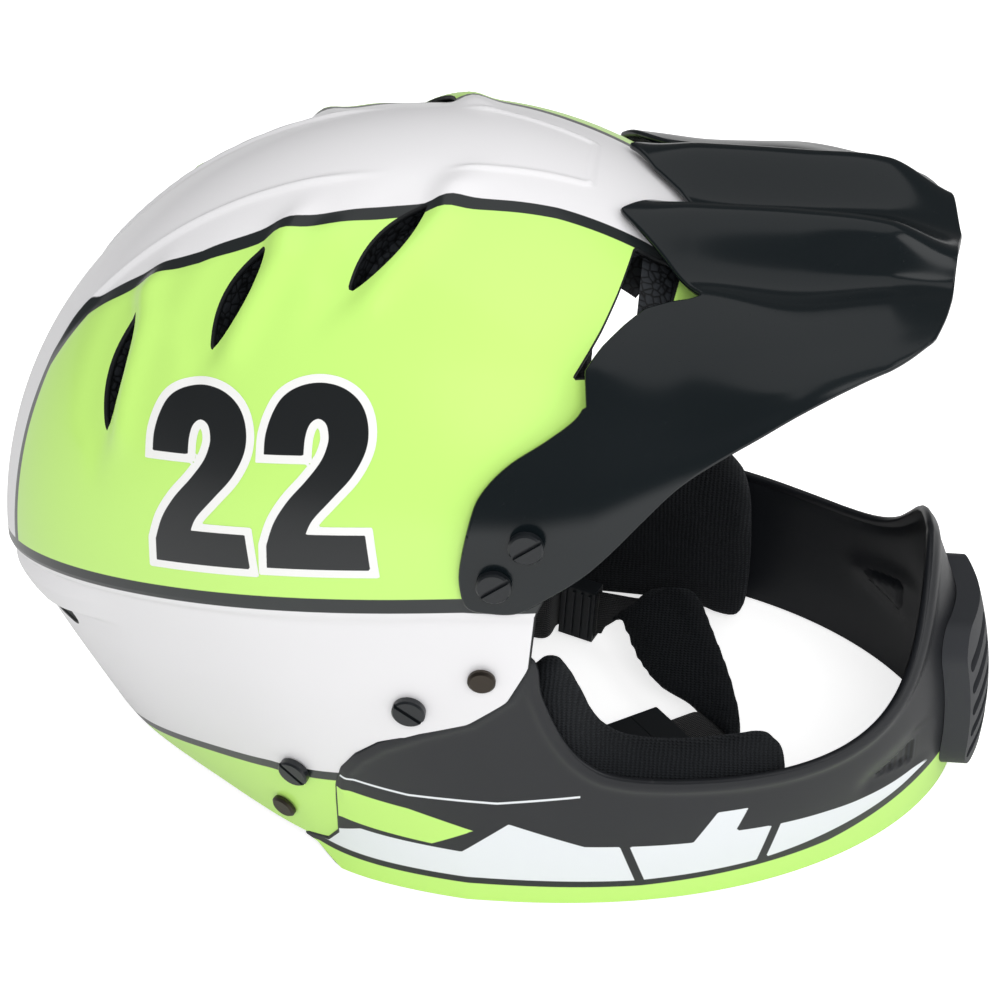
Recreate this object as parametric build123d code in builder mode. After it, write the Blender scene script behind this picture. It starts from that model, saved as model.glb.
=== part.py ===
"""Downhill bike full face helmet: shell, liner, chin guard, visor, pads, straps and fasteners.

Frame: millimetres, X forward through the mouth grille, Y to the wearer's left, Z up.
The origin lies under the middle of the helmet, on the plane of the chin guard's flat bottom rim.
A name that ends in share or shares holds parts of a named size.
"""
import os
from math import cos, pi, radians, sin, sqrt

from build123d import *

os.makedirs("parts", exist_ok=True)

# Outer shell: reaches from the origin, and heights over the rim plane
rear_reach = 177.5
half_width = 110.0
cheek_reach = 118.0
crown_setback = 20.0
brow_reach = 150.0
crown_height = 242.0
pole_height = 78.0
belt_height = 129.5
keel_depth = 190.0
shell_wall = 2.2
vent_width = 11.0
rear_port_width = 100.0
rear_port_height = 10.5
rear_port_level = 70.8
rear_port_corner = 5.0
vent_depth = 12.0

# Expanded foam liner
liner_gap = 0.4
liner_inset = 27.0
liner_flange_inset = 9.6

# Chin guard
guard_nose = 170.0
guard_nose_level = 25.0
guard_nose_lean = 17.0
guard_half_width = 104.5
guard_tuck = 2.0
guard_height = 96.0
guard_corner_height = 106.0
guard_wall = 3.2
guard_rear = 74.0
guard_flush = 45.0
guard_flare = 62.0

# Mouth grille
grille_width = 62.0
grille_bottom = 10.0
grille_top = 70.0
grille_stand = 8.5
grille_face = 3.0
grille_rim = 4.0
grille_corner = 12.0
grille_slot_count = 5
grille_slot_height = 5.0
grille_slot_pitch = 9.6
grille_slot_slant = 12.0

# Visor
visor_wall = 2.6
visor_tip = 151.0
visor_half_width = 112.8
visor_height = 231.0
visor_tilt_range = 4.0
boss_width = 15.0
boss_rise = 0.4
pivot_x = 20.0
pivot_z = 157.0
lock_x = 10.0
lock_z = 141.5

# Screws, nuts, rivets and washers
screw_head = 11.2
screw_head_height = 2.6
screw_shank = 5.0
screw_length = 20.0
screw_slot = 1.4
screw_slot_depth = 1.1
screw_edge = 0.6
running_gap = 0.05
hole_gap = 0.4
nut_width = 11.0
nut_height = 4.0
nut_pocket_gap = 1.0
rivet_head = 9.2
rivet_head_height = 1.9
rivet_shank = 4.0
rivet_edge = 0.8
rivet_tail = 1.0
washer_width = 12.0
washer_height = 1.0

# Pads and straps
pad_gap = 0.4
pad_thickness = 7.5
pad_corner = 8.0
cheek_pad_depth = 24.0
cheek_pad_bottom = 6.0
cheek_pad_gap = 1.2
webbing_width = 20.0
webbing_thickness = 1.6
webbing_gap = 0.4
sleeve_width = 32.0
sleeve_thickness = 6.0
slider_length = 14.0
slider_wall = 1.6
slider_rib = 1.0
buckle_thickness = 8.0
socket_length = 26.0
tongue_length = 12.0
prong_length = 15.0
prong_width = 3.8
prong_thickness = 3.6
buckle_wall = 2.2
buckle_travel = 12.0
buckle_run_gap = 3.2

overrun = 4.0
contact_gap = 0.3
edge_gap = 0.5

# Stations of the shell's cross sections, as shares of the reach to the rear pole and to the brow
rear_station_shares = (0.996, 0.975, 0.92, 0.82, 0.68, 0.50, 0.30, 0.10)
front_station_shares = (0.05, 0.28, 0.48, 0.64, 0.76)
section_steps = 10

# How the belt and the belly fade to the rear
belt_fade_share = 1.1
belly_share = 0.9
belly_station_share = 0.42
belly_fade_share = 6.0

# Edge of the shell in side view: shares of rear_reach forward, and of crown_height up
shell_hem_shares = ((-1.12, 0.12), (-0.845, 0.10), (-0.65, 0.075), (-0.47, 0.052), (-0.33, 0.041))
shell_lobe_shares = ((-0.282, 0.066), (-0.258, 0.18), (-0.235, 0.226), (-0.165, 0.278))
shell_cheek_shares = ((-0.09, 0.306), (0.003, 0.331), (0.075, 0.374), (0.113, 0.43), (0.125, 0.524))
shell_temple_shares = (
    (0.125, 0.524), (0.17, 0.60), (0.25, 0.655), (0.32, 0.705), (0.375, 0.76), (0.41, 0.81),
)
shell_brow_shares = ((0.41, 0.81), (0.42, 0.884), (0.52, 1.12))
# Large front vent of the shell at each temple, in the same shares
brow_vent_shares = (
    (0.192, 0.822), (0.225, 0.866), (0.262, 0.905), (0.350, 0.872), (0.322, 0.83), (0.30, 0.785),
    (0.255, 0.765), (0.222, 0.812),
)

# Edge of the liner in side view, in the same shares
liner_hem_shares = ((-1.12, 0.16), (-0.845, 0.15), (-0.55, 0.155), (-0.051, 0.155))
liner_front_shares = (
    (-0.051, 0.155), (-0.051, 0.48), (0.09, 0.535), (0.15, 0.61), (0.20, 0.66),
    (0.215, 0.70), (0.225, 0.75), (0.28, 0.81), (0.36, 0.84),
)
liner_brow_shares = ((0.36, 0.84), (0.43, 0.84), (0.52, 1.12))
liner_window_shares = (
    (0.13, 0.84), (0.255, 0.895), (0.278, 0.892), (0.272, 0.79), (0.215, 0.73), (0.13, 0.72),
)
liner_window_inner_share = 0.15
# Room for the guard's flange and the front straps, shares of guard_nose and guard_corner_height
liner_room_shares = (
    (1.2, -0.2), (-0.5, -0.2), (-0.5, 0.6), (-0.3, 0.8), (-0.16, 1.1), (-0.05, 1.22), (1.2, 1.22),
)

# Screws and rivets through the shell and the chin guard, shares of rear_reach and crown_height
guard_screw_shares = ((-0.104, 0.352), (-0.338, 0.188))
front_rivet_share = (0.031, 0.415)
rear_rivet_share = (-0.372, 0.091)

# Leaf shaped vents of one side: top and bottom end of each, as shares of rear_reach and crown_height
vent_shares = (
    ((-0.105, 0.972), (-0.235, 0.893)),
    ((-0.395, 0.915), (-0.485, 0.802)),
    ((-0.645, 0.800), (-0.697, 0.657)),
)

# Top edge of the chin guard from the cheek to the nose, shares of guard_nose and guard_height
guard_edge_shares = (
    (0.118, 1.104), (0.14, 0.94), (0.185, 0.755), (0.24, 0.64), (0.31, 0.587),
    (0.45, 0.56), (0.65, 0.542), (0.77, 0.565), (0.84, 0.64), (0.878, 0.78), (0.9, 1.0),
)
guard_flange_shares = (
    (1.2, 1.0), (1.2, 0.0), (-0.27, 0.0), (-0.42, 0.146), (-0.435, 0.22), (-0.435, 0.56), (-0.28, 0.73),
    (-0.12, 0.98), (0.0, 1.104),
)
guard_level_shares = (0.0, 0.17, 0.42, 0.71, 1.02)
guard_station_shares = (0.0, 0.2, 0.4, 0.58, 0.72, 0.83, 0.91, 0.965, 0.992, 1.0)
guard_rear_shares = (1.0, 0.85, 0.68, 0.5, 0.25)
guard_tuck_power_share = 2.5
guard_plan_power_share = 3.0
guard_plan_fade_share = 0.7
guard_round_share = 0.6
guard_flush_power_share = 1.2
guard_flare_power_share = 8.0
guard_flange_share = 0.7
chin_vent_shares = ((0.806, 0.344), (0.891, 0.406), (0.891, 0.297))

# Cross sections of the visor: station as a share of visor_tip, then half width and height shares
visor_section_shares = (
    (-0.06, (
        (0.0, 1.065), (0.21, 1.07), (0.44, 1.03), (0.71, 0.93),
        (0.89, 0.80), (0.985, 0.69), (1.0, 0.60), (0.995, 0.47),
    )),
    (0.265, (
        (0.0, 0.979), (0.2, 0.993), (0.417, 0.942), (0.62, 0.910),
        (0.754, 0.870), (0.895, 0.789), (0.975, 0.69), (0.985, 0.50),
    )),
    (0.437, (
        (0.0, 0.949), (0.195, 0.994), (0.372, 0.936), (0.48, 0.926),
        (0.652, 0.892), (0.807, 0.830), (0.895, 0.757), (0.91, 0.60),
    )),
    (0.65, (
        (0.0, 0.946), (0.195, 0.992), (0.363, 0.926), (0.497, 0.919),
        (0.625, 0.899), (0.754, 0.869), (0.825, 0.82), (0.835, 0.72),
    )),
    (0.85, (
        (0.0, 0.944), (0.204, 0.983), (0.306, 0.925), (0.417, 0.916),
        (0.523, 0.899), (0.62, 0.88), (0.665, 0.852), (0.69, 0.80),
    )),
    (1.0, (
        (0.0, 0.922), (0.177, 0.935), (0.257, 0.907), (0.332, 0.90),
        (0.408, 0.893), (0.47, 0.883), (0.505, 0.867), (0.515, 0.84),
    )),
)
# Side view of the visor: rear of the arm, lower edge and a top past the crown,
# shares of visor_tip and visor_height
visor_arm_shares = (
    (0.2715, 0.887), (0.255, 0.857), (0.232, 0.833), (0.167, 0.804), (0.0914, 0.773), (0.043, 0.740),
    (0.021, 0.707), (0.0, 0.635), (0.0, 0.597), (0.013, 0.570), (0.053, 0.564), (0.11, 0.566),
)
visor_lower_shares = (
    (0.11, 0.566), (0.162, 0.587), (0.232, 0.622), (0.291, 0.658), (0.361, 0.707), (0.431, 0.753),
    (0.507, 0.792), (0.593, 0.831), (0.715, 0.879), (0.85, 0.892), (0.94, 0.898), (1.05, 0.88),
)
# Plan view of the visor's rear edge: two spikes and three notches, shares of visor_tip and visor_half_width
visor_notch_shares = (
    (0.247, 0.805), (0.44, 0.55), (0.452, 0.50), (0.44, 0.45), (0.281, 0.215), (0.424, 0.0),
)
visor_front_shares = ((0.88, 1.0), (0.93, 0.56), (0.985, 0.34), (1.0, 0.0))

# Cheek pad: stations forward as shares of guard_nose, top of each as a share of guard_corner_height
cheek_pad_shares = (
    (0.141, 0.80), (0.17, 0.84), (0.22, 0.74), (0.32, 0.615), (0.42, 0.61), (0.53, 0.625),
    (0.585, 0.58), (0.61, 0.45),
)
cheek_pad_reach_shares = (0.86, 1.0)
# Outline of a pad's section: shares of its depth inwards and of its height up
cheek_round_shares = (
    (0.02, 0.2), (0.0, 0.5), (0.04, 0.8), (0.28, 0.97), (0.55, 1.0), (0.84, 0.94),
    (0.99, 0.78), (0.94, 0.5), (0.97, 0.2), (0.8, 0.03), (0.45, 0.0), (0.15, 0.05),
)

# Pads on the liner, as shares of rear_reach, half_width and crown_height
crown_pad_shares = (-0.19, 0.0, 0.56, 0.5)
brow_pad_shares = (0.155, 0.0, 0.095, 1.1)
nape_pad_shares = (0.0, 0.29, 0.9, 0.19)

# Straps: a station's place in shares of the guard's nose, half width and corner height, then its width
left_leg_shares = ((0.032, 0.951, 1.028), (0.032, 0.951, 0.58), (0.053, 0.83, 0.36), (0.092, 0.65, 0.22))
leg_widths = ((1.0, 0.0, 0.0), (1.0, 0.0, 0.0), (0.85, 0.0, 0.5), (0.4, 0.0, 0.92))
left_rear_shares = ((-0.425, 0.70, 0.2), (-0.33, 0.745, 0.2), (-0.12, 0.67, 0.16), (0.06, 0.545, 0.14))
left_slider_share = (0.153, 0.49, 0.132)
left_slider_direction = (0.94, -0.33, -0.06)
right_leg_shares = (
    (0.032, -0.951, 1.028), (0.032, -0.951, 0.58), (-0.018, -0.87, 0.37), (-0.06, -0.745, 0.24),
)
right_rear_shares = ((-0.425, -0.70, 0.2), (-0.33, -0.745, 0.2), (-0.2, -0.725, 0.2), (-0.1, -0.69, 0.2))
right_slider_share = (0.0, -0.645, 0.189)
right_slider_direction = (0.87, 0.45, -0.1)
left_rear_widths = ((0.0, 0.28, 0.96), (0.0, 0.28, 0.96), (0.0, 0.1, 1.0), (0.0, 0.0, 1.0))
right_rear_widths = ((0.0, -0.28, 0.96), (0.0, -0.28, 0.96), (0.0, -0.1, 1.0), (0.0, 0.0, 1.0))
sleeve_shares = (
    (0.317, 0.459, 0.236), (0.365, 0.268, 0.179), (0.424, 0.048, 0.142), (0.471, -0.115, 0.104),
)
sleeve_widths = ((0.9, 0.0, 0.4), (0.93, 0.0, 0.36), (0.9, -0.3, 0.2), (0.65, -0.76, 0.0))
buckle_direction = (-0.78, -0.62, 0.05)
slider_end_share = 0.55
slider_rib_shares = (-0.36, -0.12, 0.12, 0.36)


def shell_measure(x, inset=0.0):
    """Half width, belt height, crown height, keel height and belly power of the shell's section at x."""
    rear = rear_reach - inset
    along = min(-x / rear, 1.0) if x < 0 else 0.0
    if x < 0:
        wide = (half_width - inset) * sqrt(1 - along**2)
    else:
        wide = (half_width - inset) * sqrt(1 - (x / (cheek_reach - inset / 2)) ** 2)
    crown_reach = rear - crown_setback if x < -crown_setback else brow_reach - inset
    crown_along = min(abs(x + crown_setback) / crown_reach, 1.0)
    crown = pole_height + (crown_height - inset - pole_height) * sqrt(1 - crown_along**2)
    belt = pole_height + (belt_height - pole_height) * sqrt(1 - along**belt_fade_share)
    keel = pole_height - (keel_depth - inset) * (1 - along**2)
    belly = 1 + belly_share / (1 + (along / belly_station_share) ** belly_fade_share)
    return wide, belt, crown, keel, belly


def shell_side(x, z, inset=0.0):
    """Half width of the shell's form at height z of its section at x."""
    wide, belt, crown, keel, belly = shell_measure(x, inset)
    if z >= belt:
        return wide * sqrt(max(0.0, 1 - ((z - belt) / (crown - belt)) ** 2))
    return wide * sqrt(max(0.0, 1 - ((belt - z) / (belt - keel)) ** belly))


def shell_plane(x, z, side, inset=0.0, along=None):
    """Plane on the shell's form at x and z of one side, its normal pointing outwards."""
    step = shell_wall / 2
    middle = shell_side(x, z, inset)
    slope_x = (shell_side(x + step, z, inset) - shell_side(x - step, z, inset)) / (2 * step)
    slope_z = (shell_side(x, z + step, inset) - shell_side(x, z - step, inset)) / (2 * step)
    normal = Vector(-slope_x, side, -slope_z)
    if along is None:
        along = Vector(1, side * slope_x, 0)
    return Plane(origin=(x, side * middle, z), x_dir=along, z_dir=normal)


def shell_sections(inset):
    """Closed cross sections of the shell's form, drawn in by inset, from near its rear pole to the brow."""
    stations = [-share * (rear_reach - inset) for share in rear_station_shares]
    stations += [share * (brow_reach - inset - crown_setback) for share in front_station_shares]
    sections = []
    for x in stations:
        wide, belt, crown, keel, belly = shell_measure(x, inset)
        turns = [pi * step / section_steps for step in range(section_steps + 1)]
        upper = [(wide * cos(turn), belt + (crown - belt) * sin(turn)) for turn in turns]
        lower = [(wide * cos(turn), belt - (belt - keel) * sin(turn) ** (2 / belly)) for turn in turns]
        with BuildSketch(Plane(origin=(x, 0, 0), x_dir=(0, 1, 0), z_dir=(1, 0, 0))) as section:
            with BuildLine():
                Spline(upper)
                Spline(lower)
            make_face()
        sections.append(section.sketch)
    return sections


def guard_side(x, z, inset=0.0):
    """Half width of the chin guard's form at x and z, flowing into the shell's form at its rear."""
    depth_share = max(0.0, 1 - z / guard_corner_height)
    wide = guard_half_width - guard_tuck * depth_share**guard_tuck_power_share
    if x < 0:
        reach = guard_flush + (guard_flare - guard_flush) * depth_share**guard_flare_power_share
        share = min(1.0, (-x / reach) ** guard_flush_power_share)
        return wide + (shell_side(x, z) - wide) * share - inset * (1 + guard_flange_share * share)
    share = min(x / guard_nose_reach(z, inset), 1.0)
    power = guard_plan_power_share - guard_plan_fade_share * depth_share**guard_tuck_power_share
    return (wide - inset) * (1 - share**power) ** guard_round_share


def guard_nose_reach(z, inset=0.0):
    """Reach of the chin guard's nose at height z: a parabola that leans back above its fullest level."""
    lean = (z - guard_nose_level) / (guard_height - guard_nose_level)
    return guard_nose - guard_nose_lean * lean**2 - inset


def guard_sections(inset, below=0.0, above=0.0):
    """Horizontal sections of the chin guard's form, from the rim plane up past its corners."""
    levels = [share * guard_corner_height for share in guard_level_shares]
    levels[0] -= below
    levels[-1] += above
    sections = []
    for z in levels:
        nose = guard_nose_reach(z, inset)
        rear = -(guard_rear + overrun + below)
        stations = [share * rear for share in guard_rear_shares]
        stations += [share * nose for share in guard_station_shares]
        left = [(x, guard_side(x, z, inset)) for x in stations]
        right = [(x, -y) for x, y in reversed(left[:-1])]
        with BuildSketch(Plane.XY.offset(z)) as section:
            with BuildLine():
                Spline(left + right)
                Line(right[-1], left[0])
            make_face()
        sections.append(section.sketch)
    return sections


def side_outline(shares, reach, height):
    """Points of a side view outline from its shares of a reach and a height."""
    return [(x_share * reach, z_share * height) for x_share, z_share in shares]


def cut_across():
    """Depth of a side view cut to each side, past the widest piece."""
    return visor_half_width + overrun


def place(shares):
    """A fastener's x and z from its shares of the shell's reach and height."""
    return shares[0] * rear_reach, shares[1] * crown_height


def clear_depth(seat, radius, limit):
    """Depth under a seat at which a disc of this radius lies within the half width that limit gives."""
    turns = [2 * pi * step / section_steps for step in range(section_steps)]
    rim = [
        seat.origin + seat.x_dir * (radius * cos(turn)) + seat.y_dir * (radius * sin(turn))
        for turn in turns
    ]
    depth = 0.0
    while True:
        points = [point - seat.z_dir * depth for point in rim]
        if all(abs(point.Y) <= limit(point.X, point.Z) for point in points):
            return depth
        depth += contact_gap


def turned_plane(seat):
    """Plane through a seat's axis: its x runs out from the axis, its y along the axis."""
    return Plane(origin=seat.origin, x_dir=seat.x_dir, z_dir=-seat.y_dir)


def web_point(shares):
    """A strap's place from its shares of the chin guard's nose, half width and corner height."""
    return Vector(shares[0] * guard_nose, shares[1] * guard_half_width, shares[2] * guard_corner_height)


def web_planes(stations):
    """Planes across a strap, one for each station's point and direction of width."""
    planes = []
    last = len(stations) - 1
    for index, (point, across) in enumerate(stations):
        ahead = stations[min(index + 1, last)][0] - stations[max(index - 1, 0)][0]
        wide = across.normalized()
        planes.append(Plane(origin=point, x_dir=wide, z_dir=wide.cross(ahead.cross(wide))))
    return planes


def web_sections(planes, width, thickness):
    """Flat oblong sections of a strap."""
    sections = []
    for plane in planes:
        with BuildSketch(plane) as section:
            Rectangle(width, thickness)
        sections.append(section.sketch)
    return sections


visor_seat_side = visor_half_width + boss_rise
visor_seats = [
    Plane(origin=(x, side * visor_seat_side, z), x_dir=(0.8, 0, 0.6), z_dir=(0, side, 0))
    for side in (-1, 1)
    for x, z in ((pivot_x, pivot_z), (lock_x, lock_z))
]
guard_seats = [
    shell_plane(*place(shares), side, along=Vector(0.8, 0, -0.6))
    for side in (-1, 1)
    for shares in guard_screw_shares
]
front_rivet_seats = [shell_plane(*place(front_rivet_share), side) for side in (-1, 1)]
rear_rivet_seats = [shell_plane(*place(rear_rivet_share), side) for side in (-1, 1)]
rivet_seats = front_rivet_seats + rear_rivet_seats


def shell_outline(grow=0.0):
    """Side view area that the shell covers, grown by a gap for its neighbours."""
    with BuildSketch(Plane.XZ) as outline:
        with BuildLine():
            Polyline(side_outline(shell_hem_shares + shell_lobe_shares[:1], rear_reach, crown_height))
            Polyline(side_outline(shell_lobe_shares, rear_reach, crown_height))
            Polyline(side_outline(shell_lobe_shares[-1:] + shell_cheek_shares, rear_reach, crown_height))
            Polyline(side_outline(shell_temple_shares, rear_reach, crown_height))
            Polyline(
                side_outline(shell_brow_shares + ((-1.12, 1.12), (-1.12, 0.12)), rear_reach, crown_height)
            )
        make_face()
        if grow:
            offset(amount=grow)
    return outline.sketch


# Outer shell: thermoformed skin with a hem, a cheek edge over the chin guard, a brow edge, vents and a rear port
with BuildPart() as shell_skin:
    loft(shell_sections(0))
    loft(shell_sections(shell_wall), mode=Mode.SUBTRACT)

with BuildPart() as outer_shell:
    add(shell_skin.part)
    extrude(shell_outline(), amount=cut_across(), both=True, mode=Mode.INTERSECT)
    with BuildSketch(Plane.XZ) as brow_vent:
        with BuildLine():
            Polyline(side_outline(brow_vent_shares, rear_reach, crown_height), close=True)
        make_face()
    extrude(amount=cut_across(), both=True, mode=Mode.SUBTRACT)
    for side in (-1, 1):
        for top, bottom in vent_shares:
            top_x, top_z = place(top)
            low_x, low_z = place(bottom)
            start = Vector(top_x, side * shell_side(top_x, top_z), top_z)
            end = Vector(low_x, side * shell_side(low_x, low_z), low_z)
            middle = shell_plane((top_x + low_x) / 2, (top_z + low_z) / 2, side)
            span = (start - end).length / 2
            leaf = Plane(origin=(start + end) * 0.5, x_dir=start - end, z_dir=middle.z_dir)
            with BuildSketch(leaf) as vent:
                with BuildLine():
                    ThreePointArc((-span, 0), (0, vent_width / 2), (span, 0))
                    ThreePointArc((-span, 0), (0, -vent_width / 2), (span, 0))
                make_face()
            extrude(amount=vent_width, both=True, mode=Mode.SUBTRACT)
    with BuildSketch(Plane.YZ) as rear_port:
        with Locations((0, rear_port_level)):
            RectangleRounded(rear_port_width, rear_port_height, rear_port_corner)
    extrude(amount=-rear_reach, mode=Mode.SUBTRACT)
    for seat in visor_seats + guard_seats + rivet_seats:
        with BuildSketch(seat):
            Circle(screw_shank / 2 + hole_gap)
        extrude(amount=-screw_length, mode=Mode.SUBTRACT)
outer_shell.part.label = "outer_shell"
export_step(outer_shell.part, "parts/outer_shell.step")

# Chin guard: a U of even wall, flat on its bottom rim, its flange tucked inside the shell
with BuildPart() as shell_room:
    extrude(shell_outline(edge_gap), amount=cut_across(), both=True)
    loft(shell_sections(shell_wall + contact_gap), mode=Mode.SUBTRACT)
with BuildPart() as chin_guard:
    loft(guard_sections(0))
    loft(guard_sections(guard_wall, below=overrun, above=overrun), mode=Mode.SUBTRACT)
    with BuildSketch(Plane.XZ) as edge:
        with BuildLine():
            Spline(side_outline(guard_edge_shares, guard_nose, guard_height))
            Polyline(
                side_outline(
                    guard_edge_shares[-1:] + guard_flange_shares + guard_edge_shares[:1], guard_nose, guard_height
                )
            )
        make_face()
    extrude(amount=cut_across(), both=True, mode=Mode.INTERSECT)
    with BuildSketch(Plane.XZ) as vent:
        with BuildLine():
            Polyline(side_outline(chin_vent_shares, guard_nose, guard_height), close=True)
        make_face()
    extrude(amount=guard_half_width, both=True, mode=Mode.SUBTRACT)
    with BuildSketch(Plane.YZ) as mouth:
        with Locations((0, (grille_top + grille_bottom) / 2)):
            RectangleRounded(
                grille_width - 2 * grille_rim,
                grille_top - grille_bottom - 2 * grille_rim,
                grille_corner - grille_rim,
            )
    extrude(amount=guard_nose + overrun, mode=Mode.SUBTRACT)
    add(shell_room.part, mode=Mode.SUBTRACT)
    for seat in guard_seats + rivet_seats:
        with BuildSketch(seat):
            Circle(screw_shank / 2 + hole_gap)
        extrude(amount=-screw_length, mode=Mode.SUBTRACT)
chin_guard.part.label = "chin_guard"
export_step(chin_guard.part, "parts/chin_guard.step")

# Mouth grille: a domed face with slanted slots on a rim that plugs into the guard's mouth
with BuildPart() as mouth_grille:
    loft(guard_sections(-grille_stand, below=overrun))
    with BuildSketch(Plane.YZ) as face:
        with Locations((0, (grille_top + grille_bottom) / 2)):
            RectangleRounded(grille_width, grille_top - grille_bottom, grille_corner)
    extrude(amount=guard_nose + grille_stand, mode=Mode.INTERSECT)
    loft(guard_sections(-contact_gap / 2, below=overrun), mode=Mode.SUBTRACT)
with BuildPart() as grille_pocket:
    loft(guard_sections(grille_face - grille_stand, below=overrun))
    with BuildSketch(Plane.YZ) as face:
        with Locations((0, (grille_top + grille_bottom) / 2)):
            RectangleRounded(
                grille_width - 2 * grille_rim,
                grille_top - grille_bottom - 2 * grille_rim,
                grille_corner - grille_rim,
            )
    extrude(amount=guard_nose + grille_stand, mode=Mode.INTERSECT)
with BuildPart() as grille:
    add(mouth_grille.part)
    add(grille_pocket.part, mode=Mode.SUBTRACT)
    middle_z = (grille_top + grille_bottom) / 2
    first_z = middle_z - grille_slot_pitch * (grille_slot_count - 1) / 2
    for slot in range(grille_slot_count):
        for side in (-1, 1):
            slot_z = first_z + slot * grille_slot_pitch
            with BuildSketch(Plane.YZ) as opening:
                with Locations(Location((side * grille_width / 4, slot_z), -side * grille_slot_slant)):
                    SlotOverall(grille_width / 2 - grille_rim, grille_slot_height)
            extrude(amount=guard_nose + grille_stand + overrun, mode=Mode.SUBTRACT)
grille.part.label = "mouth_grille"
export_step(grille.part, "parts/mouth_grille.step")

# Expanded foam liner: fills the shell down to its hem, cleared for the guard's flange, vents and nuts
nut_limits = []
for seat in visor_seats:
    depth = clear_depth(seat, nut_width / 2, lambda x, z: shell_side(x, z, shell_wall) - contact_gap)
    nut_limits.append((seat, depth))
for seat in guard_seats:
    depth = clear_depth(seat, nut_width / 2, lambda x, z: guard_side(x, z, guard_wall) - contact_gap)
    nut_limits.append((seat, depth))

with BuildPart() as flange_room:
    with BuildSketch(Plane.XZ) as edge:
        with BuildLine():
            Polyline(side_outline(liner_room_shares, guard_nose, guard_corner_height), close=True)
        make_face()
    extrude(amount=cut_across(), both=True)
    loft(shell_sections(liner_flange_inset), mode=Mode.SUBTRACT)

with BuildPart() as eps_liner:
    loft(shell_sections(shell_wall + liner_gap))
    loft(shell_sections(liner_inset), mode=Mode.SUBTRACT)
    with BuildSketch(Plane.XZ) as edge:
        with BuildLine():
            Polyline(
                side_outline(
                    liner_hem_shares + liner_front_shares[1:] + liner_brow_shares[1:] + ((-1.12, 1.12),),
                    rear_reach,
                    crown_height,
                ),
                close=True,
            )
        make_face()
    extrude(amount=cut_across(), both=True, mode=Mode.INTERSECT)
    add(flange_room.part, mode=Mode.SUBTRACT)
    for side in (-1, 1):
        with BuildSketch(Plane.XZ.offset(-side * liner_window_inner_share * half_width)) as window:
            with BuildLine():
                Polyline(side_outline(liner_window_shares, rear_reach, crown_height), close=True)
            make_face()
        extrude(amount=-side * half_width, mode=Mode.SUBTRACT)
        for top, bottom in vent_shares:
            top_x, top_z = place(top)
            low_x, low_z = place(bottom)
            start = Vector(top_x, side * shell_side(top_x, top_z), top_z)
            end = Vector(low_x, side * shell_side(low_x, low_z), low_z)
            middle = shell_plane((top_x + low_x) / 2, (top_z + low_z) / 2, side)
            span = (start - end).length / 2
            leaf = Plane(origin=(start + end) * 0.5, x_dir=start - end, z_dir=middle.z_dir)
            with BuildSketch(leaf) as vent:
                with BuildLine():
                    ThreePointArc((-span, 0), (0, vent_width / 2), (span, 0))
                    ThreePointArc((-span, 0), (0, -vent_width / 2), (span, 0))
                make_face()
            extrude(amount=vent_depth, both=True, mode=Mode.SUBTRACT)
    for seat, depth in nut_limits:
        with BuildSketch(seat):
            Circle(nut_width / 2 + nut_pocket_gap)
        extrude(amount=-(depth + nut_height + nut_pocket_gap), mode=Mode.SUBTRACT)
eps_liner.part.label = "eps_liner"
export_step(eps_liner.part, "parts/eps_liner.step")

# Comfort pads on the liner's inner face
with BuildPart() as pad_skin:
    loft(shell_sections(liner_inset + pad_gap))
    loft(shell_sections(liner_inset + pad_gap + pad_thickness), mode=Mode.SUBTRACT)
for label, shares in (("crown_pad", crown_pad_shares), ("brow_pad", brow_pad_shares)):
    with BuildPart() as pad:
        add(pad_skin.part)
        with BuildSketch(Plane.XY.offset(crown_height / 2)) as outline:
            with Locations((shares[0] * rear_reach, shares[1] * half_width)):
                RectangleRounded(shares[2] * rear_reach, shares[3] * half_width, pad_corner)
        extrude(amount=crown_height / 2, mode=Mode.INTERSECT)
    pad.part.label = label
    export_step(pad.part, "parts/" + label + ".step")
with BuildPart() as nape_pad:
    add(pad_skin.part)
    with BuildSketch(Plane.YZ) as outline:
        with Locations((nape_pad_shares[0] * half_width, nape_pad_shares[1] * crown_height)):
            RectangleRounded(nape_pad_shares[2] * half_width, nape_pad_shares[3] * crown_height, pad_corner)
    extrude(amount=-rear_reach, mode=Mode.INTERSECT)
nape_pad.part.label = "nape_pad"
export_step(nape_pad.part, "parts/nape_pad.step")

# Cheek pads: cushions against the guard's inner wall, rolled over at the top
for label, side, reach_share in zip(("cheek_pad_left", "cheek_pad_right"), (1, -1), cheek_pad_reach_shares):
    sections = []
    for x_share, top_share in cheek_pad_shares:
        x = x_share * guard_nose * reach_share
        top = top_share * guard_corner_height
        rise = top - cheek_pad_bottom
        points = []
        for in_share, up_share in cheek_round_shares:
            z = cheek_pad_bottom + up_share * rise
            wall = guard_side(x, z, guard_wall) - cheek_pad_gap
            points.append((side * (wall - in_share * cheek_pad_depth), z))
        with BuildSketch(Plane(origin=(x, 0, 0), x_dir=(0, 1, 0), z_dir=(1, 0, 0))) as section:
            with BuildLine():
                Spline(points, periodic=True)
            make_face()
        sections.append(section.sketch)
    with BuildPart() as cheek_pad:
        loft(sections)
    cheek_pad.part.label = label
    export_step(cheek_pad.part, "parts/" + label + ".step")

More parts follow.
